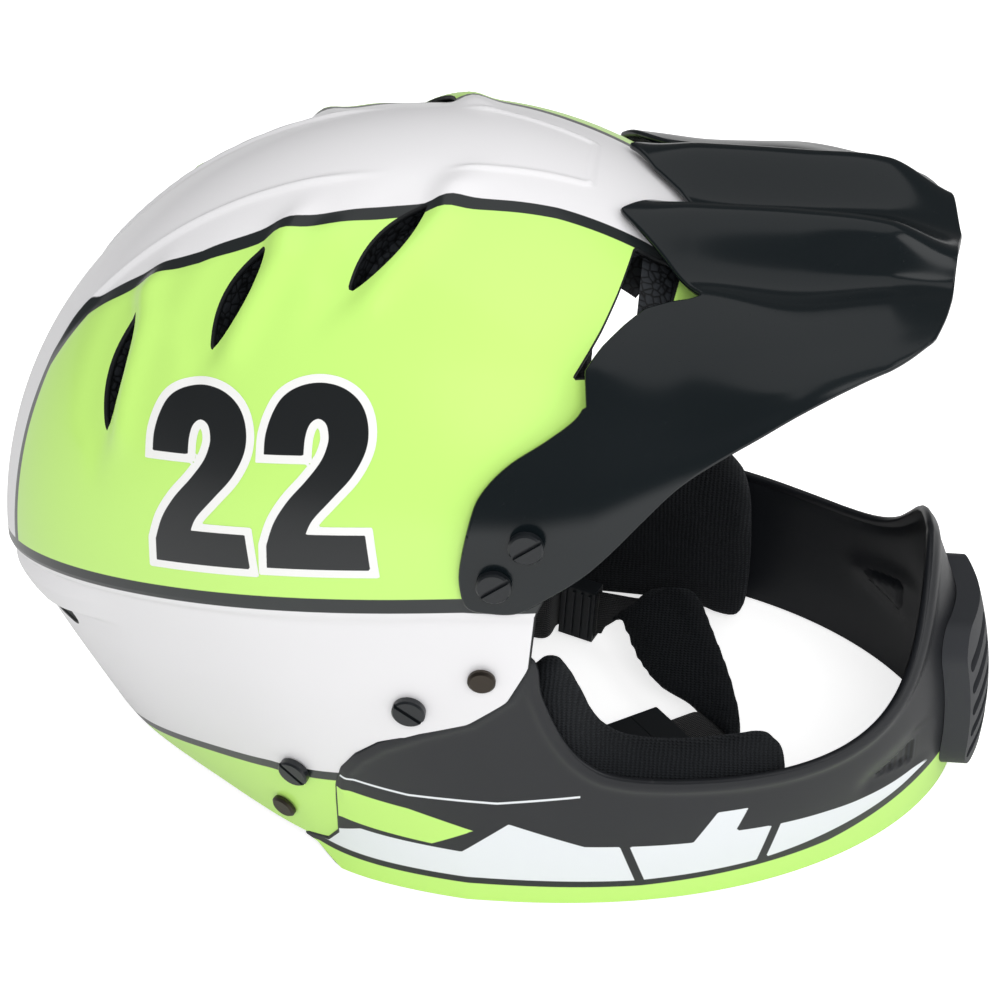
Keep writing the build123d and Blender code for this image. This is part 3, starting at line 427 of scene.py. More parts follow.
def shell_paint():
    """Printed and clear coated shell: green flanks, pale spine and belt, black lines between them."""
    s = Shader("clear coated printed polycarbonate", GREEN, 0.34, Coat_Weight=0.35, Coat_Roughness=0.12)
    spine, belt, low = s.field("spine"), s.field("belt"), s.field("low")
    paint = s.mix(s.above(belt), colour(WHITE), colour(GREEN))
    paint = s.mix(s.above(low), paint, colour(GREEN))
    paint = s.mix(s.math("MULTIPLY", s.above(spine), s.above(belt)), paint, colour(WHITE))
    for value, line in ((belt, BELT_LINE), (low, LOW_LINE)):
        near = s.math("SUBTRACT", line, s.math("ABSOLUTE", value))
        paint = s.mix(s.above(near), paint, colour(BLACK))
    near = s.math("SUBTRACT", SPINE_LINE, s.math("ABSOLUTE", spine))
    near = s.math("MULTIPLY", s.above(near), s.above(belt))
    paint = s.mix(near, paint, colour(BLACK))
    peel = s.bump(s.noise(6.0, 2.0), 0.02)
    return s.finish(Base_Color=paint, Normal=peel)


def digit_paint():
    """Race number film: black digit with a pale edge."""
    s = Shader("printed number film", BLACK, 0.36, Coat_Weight=0.3, Coat_Roughness=0.15)
    inner = s.above(s.field("digit"), 0.0, 0.08)
    return s.finish(Base_Color=s.mix(inner, colour("F2F2F0"), colour("1B1E20")))


def guard_paint():
    """Satin black moulding with printed pale and green panels, a green hem and black lines between them."""
    s = Shader("satin black moulded guard", GUARD_BLACK, 0.42, Coat_Weight=0.12, Coat_Roughness=0.25)
    hem = s.field("hem")
    paint = s.mix(s.above(s.field("pale")), colour(GUARD_BLACK), colour(PALE))
    paint = s.mix(s.above(s.field("green")), paint, colour(GREEN))
    paint = s.mix(s.above(hem, HEM_LINE[0]), paint, colour(GUARD_BLACK))
    paint = s.mix(s.above(hem, HEM_LINE[1]), paint, colour(GREEN))
    # Each chin vent is a blind recess painted near black as painted shade of the opening's depth, with lighter
    # stripes as painted light on the ribs inside it.
    place = s.add("ShaderNodeSeparateXYZ", {"Vector": s.place()})
    ribs = s.math("SINE", s.waves(place.outputs[0], VENT_RIB))
    shaded_vent_ribs = s.mix(s.above(ribs, 0.2, 0.4), colour("050607"), colour("1D2125"))
    paint = s.mix(s.above(s.field("vent"), 0.0, 0.25), paint, shaded_vent_ribs)
    stripe = s.math("SUBTRACT", PIN_LINE, s.math("ABSOLUTE", s.field("stripe")))
    stripe = s.math("MULTIPLY", s.above(stripe), s.above(s.field("reach")))
    paint = s.mix(stripe, paint, colour(PALE))
    peel = s.bump(s.noise(0.9, 2.0), 0.012)
    rough = s.math("ADD", 0.38, s.math("MULTIPLY", s.noise(18.0), 0.08))
    return s.finish(Base_Color=paint, Normal=peel, Roughness=rough)


def plain(name, hex_text, rough, grain_mm=0.8, depth=0.02, **shade):
    """Moulded plastic or metal of one colour with a fine grain."""
    s = Shader(name, hex_text, rough, **shade)
    return s.finish(Normal=s.bump(s.noise(grain_mm, 2.0), depth))


def visor_gloss():
    """High gloss injection moulded plastic with faint dust and hairline marks."""
    s = Shader("gloss black injection moulding", "12181B", 0.2, Specular_IOR_Level=0.5)
    dust = s.above(s.noise(1.4, 4.0), 0.72, 0.02)
    rough = s.math("ADD", 0.18, s.math("MULTIPLY", dust, 0.15))
    return s.finish(Roughness=rough, Normal=s.bump(s.noise(24.0, 1.0), 0.05))


def foam():
    """Moulded bead foam: rounded cells about three millimetres wide."""
    s = Shader("black expanded bead foam", "202226", 0.75)
    inputs = {"Vector": s.place(), "Scale": 1 / (BEAD_CELL * MM)}
    depth = s.add("ShaderNodeTexVoronoi", inputs, feature="DISTANCE_TO_EDGE").outputs["Distance"]
    # The grooves between the beads are painted near black: painted shade in the creases.
    paint = s.mix(s.above(depth, 0.08, 0.06), colour("0C0D0F"), colour("2A2D31"))
    return s.finish(Base_Color=paint, Normal=s.bump(depth, 0.4))


def knit():
    """Brushed knit over foam: fine ribs down the cloth, loops along them and a short pile."""
    s = Shader("brushed black knit", "0F1012", 0.92, Sheen_Weight=0.25, Sheen_Roughness=0.4)
    s.set(s.bsdf, "Sheen Tint", colour("6A6E74"))
    split = s.add("ShaderNodeSeparateXYZ", {"Vector": s.place()})
    warp = s.math("MULTIPLY", s.noise(30.0), 0.004)
    across = s.waves(s.math("ADD", split.outputs[0], warp), KNIT_RIB)
    rise = s.math("ADD", split.outputs[2], s.math("MULTIPLY", split.outputs[1], 0.7))
    down = s.waves(rise, KNIT_LOOP)
    rib = s.math("SINE", across)
    loops = s.math("SINE", s.math("ADD", down, s.math("MULTIPLY", rib, 0.9)))
    height = s.math("ADD", s.math("MULTIPLY", rib, 0.6), s.math("MULTIPLY", loops, 0.4))
    height = s.math("ADD", height, s.math("MULTIPLY", s.noise(0.5, 4.0), 1.2))
    # Colour follows the relief height: painted shade in the valleys, painted highlight on the tops of ribs, loops
    # and pile.
    relief_shade = s.math("ADD", s.math("MULTIPLY", height, 0.25), 0.35)
    paint = s.mix(relief_shade, colour("07080A"), colour("24272B"))
    return s.finish(Base_Color=paint, Normal=s.bump(height, 0.2))


def webbing():
    """Woven nylon webbing: diagonal twill, its raised crossings painted lighter as painted highlight and its
    hollows darker as painted shade.
    """
    s = Shader("woven black nylon webbing", "0E0F11", 0.62, Sheen_Weight=0.15)
    across = s.math("MULTIPLY", s.field("across"), 2 * math.pi / TWILL_ACROSS)
    down = s.math("MULTIPLY", s.field("down"), 2 * math.pi / TWILL_DOWN)
    a = s.math("SINE", s.math("ADD", across, down))
    b = s.math("SINE", s.math("SUBTRACT", across, down))
    height = s.math("MULTIPLY", a, b)
    # Colour follows the weave's height: painted highlight on the raised crossings, painted shade between them.
    paint = s.mix(s.above(height, 0.2, 0.4), colour("0A0B0C"), colour("1E2024"))
    return s.finish(Base_Color=paint, Normal=s.bump(height, 0.15))


SHELL = shell_paint()
DIGIT = digit_paint()
GUARD = guard_paint()
VISOR = visor_gloss()
FOAM = foam()
KNIT = knit()
WEB = webbing()
GRILLE = plain("matt black moulded grille", "303236", 0.55, 0.7, 0.03)
NYLON = plain("black moulded nylon", "1B1E21", 0.3, 0.6, 0.02)
BUCKLE = plain("black acetal", "1D2023", 0.35, 0.5, 0.015)
STEEL = plain("plain steel", "8C8F92", 0.35, 0.4, 0.01, Metallic=1.0)
RIVET = plain("blackened steel", "4A443E", 0.42, 1.2, 0.05, Metallic=0.9)
INNER = plain("bare inner face of the shell", "17191B", 0.5)

# Shell: the grid is cut to the side outline and the vents, then given its wall

SHELL_OUTLINE = [
    (-198.8, 29.0), (-150.0, 24.2), (-115.4, 18.2), (-83.4, 12.6), (-58.6, 9.9), (-50.0, 11.5),
    (-46.5, 18.0), (-45.8, 43.6), (-43.5, 52.0), (-38.0, 60.0), (-29.3, 67.3), (-16.0, 74.0), (0.5, 80.1),
    (13.3, 90.5), (20.1, 104.1), (22.2, 126.8), (30.2, 145.2), (44.4, 158.5), (56.8, 170.6), (66.6, 183.9),
    (72.8, 196.0), (74.6, 213.9), (92.3, 271.0), (-198.8, 271.0),
]
BROW_VENT = [
    (30.4, 197.4), (38.3, 207.2), (42.6, 213.5), (46.5, 220.0), (62.1, 211.0), (57.2, 200.9), (53.3, 190.0),
    (45.3, 185.1), (38.5, 190.5), (36.0, 196.8),
]
VENTS = [((-18.6, 235.2), (-41.7, 216.1)), ((-70.1, 221.4), (-86.1, 194.1)), ((-114.5, 193.6), (-123.7, 159.0))]
VENT_WIDTH, VENT_REACH = 11.0, 25.0
DEEPEST = 1.9

# Rear exhaust port: half length of its straight middle, height, half height of that middle, round end
PORT_HALF, PORT_LEVEL, PORT_FLAT, PORT_ROUND = 45.0, 70.8, 0.25, 5.0

# Relief of the moulding, each as a height, a width and, beside the vents, a shift ahead of the opening
DISH, LIP = (3.4, 8.5, -4.5), (2.2, 5.5, 8.0)
TAIL, STEP = (-1.2, 5.0, -2.0), (2.4, 6.0, 3.0)
RIDGE, PANEL = (1.6, 1.5), (0.8, 1.0)
RIDGE_OUT, PANEL_FRONT, CROWN_DROP = 24.5, 30.5, 1.4
BELT_STEP, SKIRT_SWELL, SHELF_SWELL, SHELF_DROP = 1.5, 1.0, 3.0, 1.6


def vent_frames():
    """Centre, long direction, cross direction and half length of each vent on both sides."""
    frames = []
    for side in (-1, 1):
        for (ax, az), (bx, bz) in VENTS:
            a = np.array([ax, side * float(shell_side(ax, az)), az])
            b = np.array([bx, side * float(shell_side(bx, bz)), bz])
            mx, mz = (ax + bx) / 2, (az + bz) / 2
            h = 1.0
            sx = float(shell_side(mx + h, mz) - shell_side(mx - h, mz)) / (2 * h)
            sz = float(shell_side(mx, mz + h) - shell_side(mx, mz - h)) / (2 * h)
            normal = np.array([-sx, side, -sz])
            normal /= np.linalg.norm(normal)
            along = (a - b) / np.linalg.norm(a - b)
            cross = np.cross(normal, along)
            frames.append(((a + b) / 2, along, cross, np.linalg.norm(a - b) / 2, normal))
    return frames


VENT_FRAMES = vent_frames()


def leaf(P, frame_):
    """Distance beyond a vent's leaf outline: negative in the opening."""
    centre, along, cross, span, normal = frame_
    d = P - centre
    a, b, c = d @ along, d @ cross, d @ normal
    value = np.abs(b) - VENT_WIDTH / 2 * (1 - (a / span) ** 2)
    return np.where(np.abs(c) < VENT_REACH, value, 2 * VENT_REACH)


SPINE_X = [-176, -165, -158, -150, -135, -114, -93, -60, -34, -18, 4, 22, 35, 48, 80]
SPINE_Y = [46, 40, 33, 27, 27, 35, 40, 41.3, 40.2, 39, 36, 33, 32, 31, 30]
LOW_X = [-176, -150, -124, -99, -70, -44, -20]
LOW_Z = [-6, 8, 22.2, 31.9, 42.5, 47.5, 50]
BELT_RISE = 1.0


def raised_line(distance, wide, high):
    """Height of a soft raised line at a distance from its middle."""
    return high * np.exp(-((distance / wide) ** 2))


def vent_relief(P):
    """Dish, raised lip, tail and step round each vent."""
    push = np.zeros(P.shape[:-1])
    for centre, along, cross, span, normal in VENT_FRAMES:
        d = P - centre
        a, b, c = d @ along, d @ cross, d @ normal
        forward = np.sign(cross[0]) * b
        ends = np.exp(-((a / (span * 1.12)) ** 6))
        dish = raised_line(forward - DISH[2], DISH[1], DISH[0]) * ends
        lip = raised_line(forward - LIP[2], LIP[1], LIP[0]) * ends
        tail = raised_line(a + span * 1.25, span * 0.5, 1.0) * raised_line(forward - TAIL[2], TAIL[1], TAIL[0])
        step = raised_line(a - span * 1.35, span * 0.55, 1.0) * raised_line(forward - STEP[2], STEP[1], STEP[0])
        push += np.where(np.abs(c) < VENT_REACH * 1.2, lip - dish + tail + step, 0)
    return push


def shell_push(P):
    """How far the moulding stands out of the plain form: dished vents, raised lips, ridges, panels, skirt.

    Each term is a height times a bell curve exp(-(d / w)^2) or a soft step of the distance d to the feature.
    What goes in is held softly within the gap over the liner.
    """
    x, y, z = P[..., 0], P[..., 1], P[..., 2]
    out = np.abs(y)
    belt = shell_measure(x)[1]
    push = vent_relief(P)
    ridge = raised_line(out - RIDGE_OUT, RIDGE[1], RIDGE[0]) * smooth(-158, -140, x) * (1 - smooth(-62, -30, x))
    fall = np.interp(x, [-20, -5, 30, 40], [24, 21, 14.5, 14])
    panel_side = raised_line(out - fall, PANEL[1], PANEL[0]) * smooth(-16, -6, x)
    panel_side *= 1 - smooth(PANEL_FRONT - 1, PANEL_FRONT + 0.5, x)
    panel_front = raised_line(x - PANEL_FRONT, PANEL[1], PANEL[0]) * (1 - smooth(fall - 0.5, fall + 0.5, out))
    push += smooth(60, 80, z - belt) * (ridge + panel_side + panel_front)
    crown = CROWN_DROP * smooth(-170, -120, x) * (1 - smooth(-40, 10, x)) * smooth(20, 60, z - belt)
    push += crown * (smooth(-2, 6, out - np.interp(x, SPINE_X, SPINE_Y)) - 1)
    depth = belt - z
    push += SKIRT_SWELL * smooth(16, 40, depth) - BELT_STEP * smooth(3, 7, depth)
    below = smooth(21.5, 25.5, depth)
    shelf = SHELF_SWELL * smooth(4, 14, depth) * (1 - below) - SHELF_DROP * below
    push += (1 - smooth(-150, -118, x)) * shelf
    return np.where(push < 0, -DEEPEST * np.tanh(-push / DEEPEST), push)


def shell_form(rows, turns):
    """The shell's form with everything that stands out of it."""
    P = shell_grid(rows, turns)
    N = grid_normals(P, flip=True)
    return P + N * shell_push(P)[..., None]


def shell_fields(P):
    """Paint fields: within the spine's edge, above the belt line and below the lower line."""
    x, y, z = P[..., 0], P[..., 1], P[..., 2]
    belt = z - shell_measure(x)[1] - BELT_RISE
    spine = np.interp(x, SPINE_X, SPINE_Y) - np.abs(y)
    low = np.interp(x, LOW_X, LOW_Z) - z
    return [spine, belt, low]


def shell_keep(P):
    """Distance inside the side outline, outside every vent and the rounded rear port: positive on the skin."""
    x, z = P[..., 0], P[..., 2]
    keep = np.minimum(inside_distance(x, z, SHELL_OUTLINE), -inside_distance(x, z, BROW_VENT))
    for vent in VENT_FRAMES:
        keep = np.minimum(keep, leaf(P, vent))
    across = np.maximum(np.abs(P[..., 1]) - PORT_HALF, 0)
    up = np.maximum(np.abs(z - PORT_LEVEL) - PORT_FLAT, 0)
    port = np.hypot(across, up) - PORT_ROUND
    return np.where(x < -REAR_REACH / 2, np.minimum(keep, port), keep)


def lip_of(points, normals, values, rim, wall, rings=3):
    """Only the rounded lip of a skin, as its own faces."""
    none = walled(points, normals, values, [], rim, wall, rings)
    used = np.unique(np.concatenate([np.array(f) for f in none[3]]))
    lookup = np.full(len(none[0]), -1)
    lookup[used] = np.arange(len(used))
    faces = [[int(lookup[v]) for v in f] for f in none[3]]
    return none[0][used], none[1][used], none[2][used], faces


def outward_faces(faces, points, normals):
    """Turns all faces over if they point against the normals."""
    f = faces[len(faces) // 2]
    a, b, c = (points[f[i]] for i in (0, 1, 2))
    if np.dot(np.cross(b - a, c - a), normals[f[0]]) < 0:
        return [list(reversed(q)) for q in faces]
    return faces


def skin(P, N, keep, fields, wrap=False):
    """A trimmed surface whose faces look along its normals, its rim turned with them."""
    points, normals, values, faces, rim = trimmed(P, N, keep, fields, wrap)
    turned = outward_faces(faces, points, normals)
    if turned is not faces:
        rim = [(b, a) for a, b in rim]
    return points, normals, values, turned, rim


def build_shell():
    """Printed outer skin, its rounded lip, and the bare inner face one wall further in."""
    slot = dict(value_names=("spine", "belt", "low"), slot="green_gloss_shell", replaces=("outer_shell",))
    P = shell_form(180, 640)
    N = grid_normals(P, flip=True)
    points, normals, values, faces, rim = skin(P, N, shell_keep(P), shell_fields(P), wrap=True)
    make_mesh("shell_skin", points, faces, SHELL, normals, values, **slot)
    points, normals, values, faces = lip_of(points, normals, values, rim, SHELL_WALL)
    make_mesh("shell_lip", points, faces, INNER, normals, values, **slot)
    P = shell_form(110, 380)
    N = grid_normals(P, flip=True)
    points, normals, values, faces, _ = skin(P - N * SHELL_WALL, -N, shell_keep(P), shell_fields(P), wrap=True)
    make_mesh("shell_inner", points, faces, INNER, normals, values, **slot)


build_shell()

# Race digits: plain heavy figures of two, laid along the belt line

TWO_TALL = 1.99
TWO = (
    [(0.0, 0.0), (1.04, 0.0), (0.99, 0.40), (0.40, 0.40)]
    + curve([
        (0.40, 0.40), (0.47, 0.56), (0.66, 0.79), (0.85, 1.02), (0.97, 1.26), (1.0, 1.47), (0.96, 1.68),
        (0.86, 1.84), (0.70, 1.95), (0.50, 1.99), (0.30, 1.95), (0.14, 1.84), (0.04, 1.66), (-0.02, 1.44),
        (-0.03, 1.24),
    ], 6)[1:].tolist()
    + [(0.37, 1.24)]
    + curve([
        (0.37, 1.24), (0.38, 1.42), (0.42, 1.56), (0.50, 1.62), (0.58, 1.57), (0.61, 1.45), (0.60, 1.34),
        (0.54, 1.18), (0.40, 0.98), (0.22, 0.76), (0.08, 0.52), (0.0, 0.26),
    ], 6)[1:].tolist()
)
DIGIT_CELL, DIGIT_MARGIN, DIGIT_FILM, DIGIT_EDGE, DIGIT_ROUND = 0.7, 5.0, 0.14, 2.7, 1.8


def mitred(outline, reach):
    """Outline moved outward by reach, its corners kept sharp."""
    p = np.array(outline, float)
    area = np.sum(p[:, 0] * np.roll(p[:, 1], -1) - np.roll(p[:, 0], -1) * p[:, 1])
    ahead = np.roll(p, -1, 0) - p
    ahead /= np.linalg.norm(ahead, axis=1, keepdims=True)
    out = np.stack([ahead[:, 1], -ahead[:, 0]], 1) * np.sign(area)
    both = out + np.roll(out, 1, 0)
    both /= np.linalg.norm(both, axis=1, keepdims=True)
    share = np.maximum((both * out).sum(1, keepdims=True), 0.55)
    return p + both * reach / share


def digit(name, x, lift, side, wide, tall):
    """One digit: across follows x, up the arc of the shell's section from a height above the belt line."""
    u = np.linspace(-wide / 2 - DIGIT_MARGIN, wide / 2 + DIGIT_MARGIN, int(wide / DIGIT_CELL) + 14)
    v = np.linspace(-DIGIT_MARGIN, tall + DIGIT_MARGIN, int(tall / DIGIT_CELL) + 14)
    P = np.zeros((len(u), len(v), 3))
    for i, across in enumerate(u):
        at = x + across
        belt = float(shell_measure(at)[1])
        z = np.linspace(belt - 6, belt + 100, 800)
        y = shell_side(np.full_like(z, at), z)
        arc = np.concatenate([[0], np.cumsum(np.hypot(np.diff(y), np.diff(z)))])
        arc -= np.interp(belt + lift, z, arc)
        P[i, :, 0] = at
        P[i, :, 1] = side * np.interp(v, arc, y)
        P[i, :, 2] = np.interp(v, arc, z)
    P = P + grid_normals(P, toward=(5, 5, 1, side)) * (shell_push(P) + DIGIT_FILM)[..., None]
    U, V = np.meshgrid(u, v, indexing="ij")
    outline = [((a - 0.5) * wide * -side, b / TWO_TALL * tall) for a, b in TWO]
    inside = inside_distance(U, V, outline)
    edge = inside_distance(U, V, mitred(outline, DIGIT_EDGE))
    N = grid_normals(P, toward=(5, 5, 1, side))
    points, normals, values, faces, _ = skin(P, N, np.maximum(edge, inside + DIGIT_ROUND), [inside])
    make_mesh(name, points, faces, DIGIT, normals, values, ("digit",), "green_gloss_shell", ("outer_shell",))


for side, tag in ((-1, "right"), (1, "left")):
    digit("number_rear_" + tag, -87.0, 13.5, side, 32.0, 60.0)
    digit("number_front_" + tag, -47.5, 14.5, side, 33.0, 61.0)

# Chin guard

GUARD_TOP = curve([
    (0.0, 106.0), (20.0, 106.0), (24.0, 90.2), (31.4, 72.5), (40.8, 61.4), (52.7, 56.4), (76.5, 53.8),
    (110.5, 52.0), (130.9, 54.2), (142.8, 61.4), (149.3, 74.9), (153.0, 96.0),
], 8).tolist()
GUARD_OUTLINE = GUARD_TOP[8:] + [
    (204.0, 96.0), (204.0, -9.0), (-44.0, -9.0), (-46.0, 0.0), (-54.0, 6.0), (-60.0, 9.4), (-50.5, 10.8),
    (-46.0, 17.6), (-45.2, 43.6), (-42.9, 52.4), (-37.5, 60.5), (-29.0, 67.9), (-15.7, 74.6), (0.9, 80.8),
    (13.0, 91.4), (19.0, 104.2),
]
GUARD_FIELDS = ("pale", "green", "hem", "stripe", "reach", "vent")
CHIN_VENT = [(137.0, 33.0), (151.5, 39.0), (151.5, 28.5)]
VENT_DISH, VENT_DISH_WIDTH, VENT_FLOOR = 1.6, 5.0, 1.5
PORT_LIP = (0.9, 1.8, 2.2)

# Printed panels, along the guard's run and up: the run counts a quarter of the way in from the widest place
RUN_SHARE = 0.25
HEM_RUN, HEM_RISE = [-60, 60, 130, 180], [9.0, 9.0, 13.0, 22.0]
PALE_FLANK = [
    (-60, 10), (-36, 24), (-2, 22), (14, 36), (40, 27), (78, 27), (86, 40), (97, 40), (93, 30), (128, 28),
    (150, 26), (176, 23.8), (150, 19.6), (120, 15.2), (95, 12), (88, 5), (-60, 5),
]
BARS, BAR_WIDTH = ((44, 60), (112, 100)), 3.4
GREEN_BLOCK = [(-60, 46), (-20, 39), (2, 32), (-12, 24), (-42, 27), (-60, 24)]


def guard_panels(P):
    """Printed panels: distances to the pale flank, the green rear block, the green hem and a pale pinstripe."""
    x, y, z = P[..., 0], P[..., 1], P[..., 2]
    run = x + RUN_SHARE * np.clip(GUARD_HALF - np.abs(y), 0, 200)
    hem = np.interp(run, HEM_RUN, HEM_RISE) - z
    pale = inside_distance(run, z, PALE_FLANK)
    for top, foot in BARS:
        bar = inside_distance(run, z, [(top, 50), (top + BAR_WIDTH, 50), (foot + BAR_WIDTH, 5), (foot, 5)])
        pale = np.minimum(pale, -bar)
    green = inside_distance(run, z, GREEN_BLOCK)
    stripe = z - np.interp(run, [-46, -20, 10, 40], [50, 45.5, 45, 50])
    reach = np.minimum(run + 46, 38 - run)
    return [pale, green, hem, stripe, reach, inside_distance(x, z, CHIN_VENT)]


def guard_push(P):
    """The moulding's dish round each chin vent and a raised lip along the eye port, as bell curves."""
    x, z = P[..., 0], P[..., 2]
    vent = -inside_distance(x, z, CHIN_VENT)
    dish = -raised_line(np.clip(vent, 0, None), VENT_DISH_WIDTH, VENT_DISH)
    dish -= VENT_FLOOR * (1 - smooth(-1.2, 0.0, vent))
    edge = inside_distance(x, z, GUARD_OUTLINE)
    return dish + smooth(34, 44, z) * raised_line(edge - PORT_LIP[2], PORT_LIP[1], PORT_LIP[0])


def build_guard():
    """Printed outer skin cut to the side outline, and the moulding's inner face and rounded edge."""
    slot = dict(value_names=GUARD_FIELDS, slot="black_satin_shell", replaces=("chin_guard",))
    outward = (40, 10, 1, 1)
    P = guard_grid(99, 620, 108.0)
    P = P + grid_normals(P, toward=outward) * guard_push(P)[..., None]
    keep = inside_distance(P[..., 0], P[..., 2], GUARD_OUTLINE)
    points, normals, values, faces, rim = skin(P, grid_normals(P, toward=outward), keep, guard_panels(P))
    make_mesh("guard_skin", points, faces, GUARD, normals, values, **slot)
    inner = [[v + len(points) for v in reversed(f)] for f in faces]
    points, normals, values, lip = walled(points, normals, values * 0 - 9, [], rim, GUARD_WALL, grounded=True)
    points[:, 2] = np.maximum(points[:, 2], 0.0)
    make_mesh("guard_lining", points, lip + inner, GUARD, normals, values, **slot)


build_guard()

# Visor: sections along x, their points joined smoothly both ways

VISOR_SECTIONS = [
    (-9.0, [(0.0, 246.0), (23.7, 247.2), (49.6, 237.9), (80.1, 214.8),
            (100.4, 184.8), (111.1, 159.4), (112.8, 138.6), (112.2, 108.6)]),
    (40.0, [(0.0, 226.1), (22.6, 229.4), (47.0, 217.6), (69.9, 210.2),
            (85.1, 201.0), (101.0, 182.3), (110.0, 159.4), (111.1, 115.5)]),
    (66.0, [(0.0, 219.2), (22.0, 229.6), (42.0, 216.2), (54.1, 213.9),
            (73.5, 206.1), (91.0, 191.7), (101.0, 174.9), (102.6, 138.6)]),
    (98.2, [(0.0, 218.5), (22.0, 229.2), (40.9, 213.9), (56.1, 212.3),
            (70.5, 207.7), (85.1, 200.7), (93.1, 189.4), (94.2, 166.3)]),
    (128.4, [(0.0, 218.1), (23.0, 227.1), (34.5, 213.7), (47.0, 211.6),
             (59.0, 207.7), (69.9, 203.3), (75.0, 196.8), (77.8, 184.8)]),
    (151.0, [(0.0, 213.0), (20.0, 216.0), (29.0, 209.5), (37.4, 207.9),
             (46.0, 206.3), (53.0, 204.0), (57.0, 200.3), (58.1, 194.0)]),
]
VISOR_EDGE = curve([
    (34.0, 222.0), (34.6, 210.0), (35.2, 203.0), (36.4, 197.0), (34.0, 192.0), (25.2, 185.7),
    (13.8, 178.5), (6.5, 171.0), (3.2, 163.4), (0.0, 146.6), (0.0, 138.0), (2.0, 131.7), (8.0, 130.3),
    (16.6, 130.7), (24.4, 135.6), (35.0, 143.6), (43.9, 152.1), (54.5, 163.4), (65.1, 174.0),
    (76.5, 182.3), (89.5, 190.2), (99.3, 195.3), (110.0, 198.9), (121.3, 201.5), (132.6, 203.4),
    (144.0, 205.5), (160.0, 205.0),
], 8).tolist() + [(160.0, 262.0), (34.0, 262.0)]
VISOR_NOTCH = [
    (-40.0, 91.5), (37.0, 91.5), (35.8, 83.0), (40.7, 75.0), (46.4, 66.6), (52.1, 59.3), (59.4, 56.2),
    (65.5, 54.5), (69.0, 52.5), (69.3, 50.5), (67.0, 48.0), (57.0, 38.0), (44.0, 25.5), (42.4, 23.5),
    (44.0, 21.5), (51.0, 12.0), (60.0, 5.0), (64.0, 0.0), (64.0, -9.0), (-40.0, -9.0),
]
VISOR_FRONT = curve([(133.0, 112.8), (135.5, 85.0), (139.4, 63.2), (146.6, 39.0), (151.0, 0.0)], 8).tolist() + [
    (151.0, -9.0), (-60.0, -9.0), (-60.0, 130.0), (133.0, 130.0),
]
VISOR_END, VISOR_WALL = 153.0, 2.6


def visor_grid(rows, cols):
    """Grid over the visor's form: each row a smooth run through a section's points, blended along x."""
    stations = np.array([s[0] for s in VISOR_SECTIONS])
    runs = []
    for _, half in VISOR_SECTIONS:
        full = [(-y, z) for y, z in reversed(half[1:])] + list(half)
        runs.append(curve(full, 20))
    runs = np.array(runs)
    x = np.linspace(stations[0], VISOR_END, rows)
    out = np.zeros((rows, runs.shape[1], 3))
    spans = np.searchsorted(stations, x, side="right") - 1
    for i, (value, k) in enumerate(zip(x, np.clip(spans, 0, len(stations) - 2))):
        t = (value - stations[k]) / (stations[k + 1] - stations[k])
        a, b, c, d = runs[max(k - 1, 0)], runs[k], runs[k + 1], runs[min(k + 2, len(runs) - 1)]
        out[i, :, 0] = value
        out[i, :, 1:] = between(a, b, c, d, t)
    share = np.linspace(0, runs.shape[1] - 1, cols)
    low = np.clip(share.astype(int), 0, runs.shape[1] - 2)
    t = (share - low)[None, :, None]
    return out[:, low] * (1 - t) + out[:, low + 1] * t


def build_visor():
    """Gloss moulding cut to its side edge, rear notch and front edge, with its wall."""
    P = visor_grid(150, 560)
    x, y, z = P[..., 0], np.abs(P[..., 1]), P[..., 2]
    keep = np.minimum(inside_distance(x, z, VISOR_EDGE), -inside_distance(x, y, VISOR_NOTCH))
    keep = np.minimum(keep, inside_distance(x, y, VISOR_FRONT))
    moulding = skin(P, grid_normals(P, toward=(70, 280, 2, 1)), keep, [x])
    points, normals, values, faces = walled(*moulding, VISOR_WALL)
    slot = dict(value_names=("run",), slot="black_gloss_plastic", replaces=("visor",), body="visor")
    make_mesh("visor_moulding", points, faces, VISOR, normals, values, **slot)


build_visor()

# Pads: each a closed soft form, blown up a little as cloth over foam

CLOTH_FRAMES, FLOOR_GAP = 14, 0.6


def capped(grid):
    """A closed run of rings with its first and last gathered to their middles."""
    first, last = (np.repeat(ring[:-1].mean(0)[None, None], len(ring), 1) for ring in (grid[0], grid[-1]))
    return np.concatenate([first, grid, last])


def closed_skin(R, fields=()):
    """Points, field values and outward faces of a closed skin through capped rings."""
    points, _, values, faces, _ = trimmed(R, grid_normals(R), np.ones(R.shape[:2]), fields, wrap=True)
    volume = 0.0
    for f in faces:
        for i in range(1, len(f) - 1):
            volume += np.dot(points[f[0]], np.cross(points[f[i]], points[f[i + 1]]))
    if volume < 0:
        faces = [list(reversed(f)) for f in faces]
    return points, values, faces


